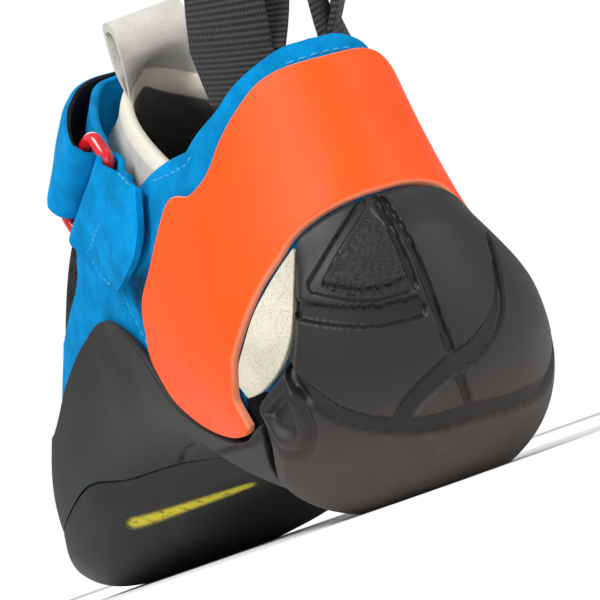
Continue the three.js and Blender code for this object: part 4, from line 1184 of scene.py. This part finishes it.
class SHOE_OT_ring(bpy.types.Operator):
    """Build the red ring and the folded tab that holds it"""

    bl_idname = "shoe.ring"
    bl_label = "Ring and tab"

    def execute(self, context):
        sizes, colours = settings()
        middle, long, short, out, bar = ring_frame(sizes)
        angle, turn = np.meshgrid(np.linspace(0, 2 * np.pi, 129)[:-1],
                                  np.linspace(0, 2 * np.pi, 29)[:-1], indexing="ij")
        bow = lambda x: np.sign(x) * np.abs(x) ** 0.45
        oval = lambda a: np.stack([bow(np.cos(a)) * (sizes.ring_length - sizes.ring_wire) / 2,
                                   bow(np.sin(a)) * bar], -1)
        place = oval(angle)
        slope = oval(angle + 1e-3) - oval(angle - 1e-3)
        away = unit(np.stack([slope[..., 1], -slope[..., 0]], -1))
        radius = sizes.ring_wire / 2
        flat = place + away * (np.cos(turn) * radius)[..., None]
        points = middle + flat[..., :1] * long + flat[..., 1:] * short
        points = points + (np.sin(turn) * radius)[..., None] * out
        rows, columns = points.shape[:2]
        faces = sheet_faces(rows + 1, columns, 0, True) % (rows * columns)
        flatpoints = points.reshape(-1, 3)
        if signed_volume(flatpoints, faces) < 0:
            faces = faces[:, ::-1]
        mesh = bpy.data.meshes.new("ring_wire")
        mesh.from_pydata(flatpoints.tolist(), [], faces.tolist())
        finish_mesh(mesh, 80)
        place_object("ring_wire", mesh, [gloss_plastic("red plastic", colours.ring)],
                     ["ring"])

        rear, front = line(ANCHOR_REAR), line(ANCHOR_FRONT)
        radius = sizes.ring_wire / 2 + 0.25 * MM + sizes.tab / 2
        lower_bar = middle - short * bar
        width = np.linalg.norm(surface(*ANCHOR_REAR[0], 0.0) - surface(*ANCHOR_FRONT[0], 0.0))
        under, turned = 0.2, 0.42

        def on_shoe(share, v, height):
            s0, t0 = rear(share)
            s1, t1 = front(share)
            return surface(mix(s0, s1, v), mix(t0, t1, v), height)

        def fold(u, v):
            low = sizes.layer_gap + sizes.tab / 2
            first = on_shoe(0.5 * (1 - np.clip(u / under, 0, 1)), v, low + 0 * u)
            angle = np.pi * np.clip((u - under) / (turned - under), 0, 1)
            place = lower_bar + (0.5 - v)[..., None] * width * long
            second = place + (np.sin(angle) * radius)[..., None] * short
            second = second - (np.cos(angle) * radius)[..., None] * out
            k = np.clip((u - turned) / (1 - turned), 0, 1)
            third = on_shoe(k, v, low + sizes.tab * (1 - 0.5 * smooth((k - 0.8) / 0.2)))
            first = mix(first, second, smooth((u - 0.5 * under) / (0.5 * under))[..., None])
            third = mix(second, third, smooth(k / 0.4)[..., None])
            return np.where((u < turned)[..., None], first, third)

        along = np.concatenate([np.linspace(0, under, 31)[:-1],
                                np.linspace(under, turned, 49)[:-1], np.linspace(turned, 1, 121)])
        top, bottom, points = ribbon(along, edged(80), sizes.tab, fold, 0.5 * MM)
        crumple = 0.13 * MM * waves(points, 0.011, 21)[..., None] * out
        shell("ring_tab", top + crumple, bottom + crumple,
              [suede("tab suede", colours.suede), suede("cut edge", shade(colours.suede, 2.2))],
              ["anchor_tab"])
        return {"FINISHED"}


class SHOE_OT_strap(bpy.types.Operator):
    """Build the strap: over the tongue, round the ring's upper bar and back on itself"""

    bl_idname = "shoe.strap"
    bl_label = "Strap"

    def execute(self, context):
        sizes, colours = settings()
        middle, long, short, out, bar = ring_frame(sizes)
        wrap = sizes.ring_wire / 2 + sizes.ring_gap + sizes.strap / 2
        room = sizes.ring_length - 2.6 * sizes.ring_wire
        low = sizes.layer_gap + sizes.strap / 2
        front, rear = line(STRAP_FRONT), line(STRAP_REAR)
        over, turns, back = 12 / 27, 6 / 27, 9 / 27

        def over_shoe(share, v, height):
            s0, t0 = front(share)
            s1, t1 = rear(share)
            return surface(mix(s0, s1, v), mix(t0, t1, v), height)

        def round_bar(angle, v):
            place = middle + short * bar + (v - 0.5)[..., None] * room * long
            return (place - (np.cos(angle) * wrap)[..., None] * out
                    - (np.sin(angle) * wrap)[..., None] * short)

        def sheet(u, v):
            k = np.clip(u / over, 0, 1)
            rise = low + 4.5 * MM * np.sin(np.pi * k / 2)
            lead = smooth((k - 0.7) / 0.24)[..., None]
            first = mix(over_shoe(k, v, rise), round_bar(0 * u, v), lead)
            angle = np.pi * np.clip((u - over) / turns, 0, 1)
            second = round_bar(angle, v)
            k = np.clip((u - over - turns) / back, 0, 1)
            rise = low + 4.5 * MM + sizes.strap + 0.3 * MM + 4.5 * MM * (1 - smooth(k))
            place = over_shoe(1 - 0.58 * k, v, rise)
            third = mix(second, place, smooth(k / 0.58)[..., None])
            return np.where((u < over)[..., None], first, third)

        along = np.concatenate([
            np.linspace(0, over, 121)[:-1], np.linspace(over, over + turns, 49)[:-1],
            np.linspace(over + turns, 1, 101),
        ])
        top, bottom, points = ribbon(along, edged(48), sizes.strap, sheet, 0.9 * MM)
        wobble = 0.12 * MM * waves(points, 0.015, 31)[..., None] * np.array([0, 0, 1])
        u = along[:, None] + 0 * points[..., 0]
        hook = smooth((u - 0.64) / 0.03)
        marks = {"hook": np.stack([hook, 0 * hook])}
        cover = strap_cover("strap suede", colours.suede, colours.cloth)
        shell("strap_band", top + wobble, bottom + wobble, [cover], ["strap"],
              marks=marks, cloth=cloth_lengths(points))
        return {"FINISHED"}


def strap_cover(name, color, hook_color):
    """Suede on the strap's outside, black hook pile where the mark hook says so."""
    g = Graph(name)
    patches = g.noise(140, 4).steps(0.35, 0.68)
    fibres = g.noise(2600, 5, 0.75)
    tone = g.blend(patches, shade(color, 0.78), shade(color, 1.14))
    tone = g.blend(fibres.steps(0.3, 0.72) * 0.55, tone, shade(color, 0.6))
    dark = g.blend(fibres.steps(0.4, 0.7), shade(hook_color, 0.4), shade(hook_color, 3))
    tone = g.blend(g.mark("hook").steps(0.4, 0.6), tone, dark)
    return g.finish(base_color=tone, roughness=0.95, normal=g.bump(fibres, 0.0005, 0.8),
                    specular_ior_level=0.06)


LOOP_RISE = unit(np.array([0.34, 0.06, 0.94]))


class SHOE_OT_pull_loops(bpy.types.Operator):
    """Build the two pull loops of ribbed webbing"""

    bl_idname = "shoe.pull_loops"
    bl_label = "Pull loops"

    def execute(self, context):
        sizes, colours = settings()
        cover = webbing("webbing", colours.cloth)
        station = 19.4
        tail_share = 0.14
        wall = unit(last_point(station + 0.5, 0) - last_point(station, 0))
        girth = np.linalg.norm(last_point(station, 0.25) - last_point(station, 0.75)) * np.pi
        for hand, name in ((-1, "inner"), (1, "outer")):
            first_turn, last_turn = (0.128, 0.104) if hand < 0 else (0.132, 0.108)
            out = last_normal(station, hand * (first_turn + last_turn) / 2)
            across = unit(np.cross(wall, out))

            def sheet(u, v):
                share = np.clip((u - tail_share) / (1 - 2 * tail_share), 0, 1)
                outwards, upwards = drop(share, 5 * MM, 5 * MM, 40 * MM)
                below = np.maximum(np.maximum(tail_share - u, u - 1 + tail_share), 0)
                below = 14 * MM * below / tail_share
                turn = hand * mix(first_turn, last_turn, smooth(u))
                depth = -sizes.wall - 0.7 * MM - sizes.webbing / 2
                depth = depth - u * (sizes.webbing + 0.6 * MM)
                aside = (v - 0.5) * sizes.webbing_width
                curved = surface(station, turn + aside / girth, depth)
                flat = surface(station, turn, depth) + across * aside[..., None]
                lift = smooth(upwards / (40 * MM))[..., None]
                place = mix(curved, flat, lift) + out * outwards[..., None]
                place = place + across * hand * 1.5 * MM * lift - wall * below[..., None]
                return place + LOOP_RISE * upwards[..., None]

            top, bottom, points = ribbon(np.linspace(0, 1, 241), edged(30), sizes.webbing, sheet,
                                         0.6 * MM)
            shell(f"webbing_loop_{name}", top, bottom, [cover],
                  [f"pull_loop_{name}"], cloth=cloth_lengths(points))
        return {"FINISHED"}


# Camera and stage

CAMERA_PLACE = (-0.1151, -0.3450, 0.00386)
CAMERA_AZIMUTH = 17.29
CAMERA_ELEVATION = 6.73
CAMERA_ROLL = -19.42
CAMERA_FOCUS = 1727.5
FRAME_PIXELS = 600
SENSOR = 36


def camera_matrix():
    azimuth, elevation, roll = np.radians([CAMERA_AZIMUTH, CAMERA_ELEVATION, CAMERA_ROLL])
    forward = np.array([np.sin(azimuth) * np.cos(elevation),
                        np.cos(azimuth) * np.cos(elevation), np.sin(elevation)])
    right = np.array([np.cos(azimuth), -np.sin(azimuth), 0])
    up = np.cross(right, forward)
    right, up = (right * np.cos(roll) + up * np.sin(roll), up * np.cos(roll) - right * np.sin(roll))
    matrix = Matrix.Identity(4)
    for row in range(3):
        matrix[row] = (right[row], up[row], -forward[row], CAMERA_PLACE[row])
    return matrix


def area_light(name, place, target, size, power):
    light = bpy.data.lights.new(name, "AREA")
    light.energy = power
    light.size = size
    lamp = bpy.data.objects.new(name, light)
    bpy.context.scene.collection.objects.link(lamp)
    backward = unit(np.array(place) - np.array(target))
    side = unit(np.cross([0, 0, 1], backward))
    rows = np.stack([side, np.cross(backward, side), backward], 1)
    matrix = Matrix.Identity(4)
    for row in range(3):
        matrix[row] = (*rows[row], place[row])
    lamp.matrix_world = matrix


class SHOE_OT_stage(bpy.types.Operator):
    """Set up the floor, the soft studio light and the camera"""

    bl_idname = "shoe.stage"
    bl_label = "Stage"

    def execute(self, context):
        look = context.scene.stage_look
        scene = context.scene
        scene.view_settings.view_transform = "Standard"
        camera = bpy.data.cameras.new("camera")
        camera.sensor_width = SENSOR
        camera.lens = SENSOR * CAMERA_FOCUS / FRAME_PIXELS
        camera.clip_start = 0.01
        holder = bpy.data.objects.new("camera", camera)
        scene.collection.objects.link(holder)
        holder.matrix_world = camera_matrix()
        scene.camera = holder
        half = FLOOR_HALF
        corners = [(-half, -half, 0), (half, -half, 0), (half, half, 0), (-half, half, 0)]
        mesh = bpy.data.meshes.new("floor")
        mesh.from_pydata(corners, [], [(0, 1, 2, 3)])
        mesh.materials.append(painted_floor("floor paint", look.floor))
        floor = bpy.data.objects.new("floor", mesh)
        scene.collection.objects.link(floor)
        target = (0, 0.06, 0.05)
        area_light("key", (-0.75, -0.55, 0.95), target, 0.6, look.key)
        area_light("fill", (0.7, -0.7, 0.5), target, 0.8, look.fill)
        area_light("back", (0.2, 0.9, 0.9), target, 0.8, look.fill)
        world = bpy.data.worlds.new("sky")
        world.use_nodes = True
        background = world.node_tree.nodes["Background"]
        background.inputs["Color"].default_value = (1, 1, 1, 1)
        background.inputs["Strength"].default_value = look.sky
        backdrop = world.node_tree.nodes.new("ShaderNodeBackground")
        backdrop.inputs["Color"].default_value = (*look.floor, 1)
        seen = world.node_tree.nodes.new("ShaderNodeLightPath")
        either = world.node_tree.nodes.new("ShaderNodeMixShader")
        links = world.node_tree.links
        links.new(seen.outputs["Is Camera Ray"], either.inputs["Fac"])
        links.new(background.outputs[0], either.inputs[1])
        links.new(backdrop.outputs[0], either.inputs[2])
        links.new(either.outputs[0], world.node_tree.nodes["World Output"].inputs["Surface"])
        scene.world = world
        return {"FINISHED"}


OPERATORS = [
    SHOE_OT_upper, SHOE_OT_insole, SHOE_OT_soles, SHOE_OT_slingshot, SHOE_OT_heel,
    SHOE_OT_tongue, SHOE_OT_ring, SHOE_OT_strap, SHOE_OT_pull_loops, SHOE_OT_stage,
]


class SHOE_PT_panel(bpy.types.Panel):
    """Lists the shoe's pieces, sizes and colours"""

    bl_label = "Climbing shoe"
    bl_idname = "SHOE_PT_panel"
    bl_space_type = "VIEW_3D"
    bl_region_type = "UI"
    bl_category = "Shoe"

    def draw(self, context):
        for operator in OPERATORS:
            self.layout.operator(operator.bl_idname)
        scene = context.scene
        for group in (scene.shoe_sizes, scene.shoe_colours, scene.stage_look):
            for name in group.__annotations__:
                self.layout.prop(group, name)


CLASSES = [ShoeSizes, ShoeColours, StageLook, *OPERATORS, SHOE_PT_panel]


def register():
    for cls in CLASSES:
        bpy.utils.register_class(cls)
    bpy.types.Scene.shoe_sizes = PointerProperty(type=ShoeSizes)
    bpy.types.Scene.shoe_colours = PointerProperty(type=ShoeColours)
    bpy.types.Scene.stage_look = PointerProperty(type=StageLook)


def unregister():
    del bpy.types.Scene.stage_look
    del bpy.types.Scene.shoe_colours
    del bpy.types.Scene.shoe_sizes
    for cls in reversed(CLASSES):
        bpy.utils.unregister_class(cls)


def main():
    register()
    bpy.ops.shoe.stage()
    bpy.ops.shoe.upper()
    bpy.ops.shoe.insole()
    bpy.ops.shoe.soles()
    bpy.ops.shoe.slingshot()
    bpy.ops.shoe.heel()
    bpy.ops.shoe.tongue()
    bpy.ops.shoe.ring()
    bpy.ops.shoe.strap()
    bpy.ops.shoe.pull_loops()


if __name__ == "__main__":
    main()
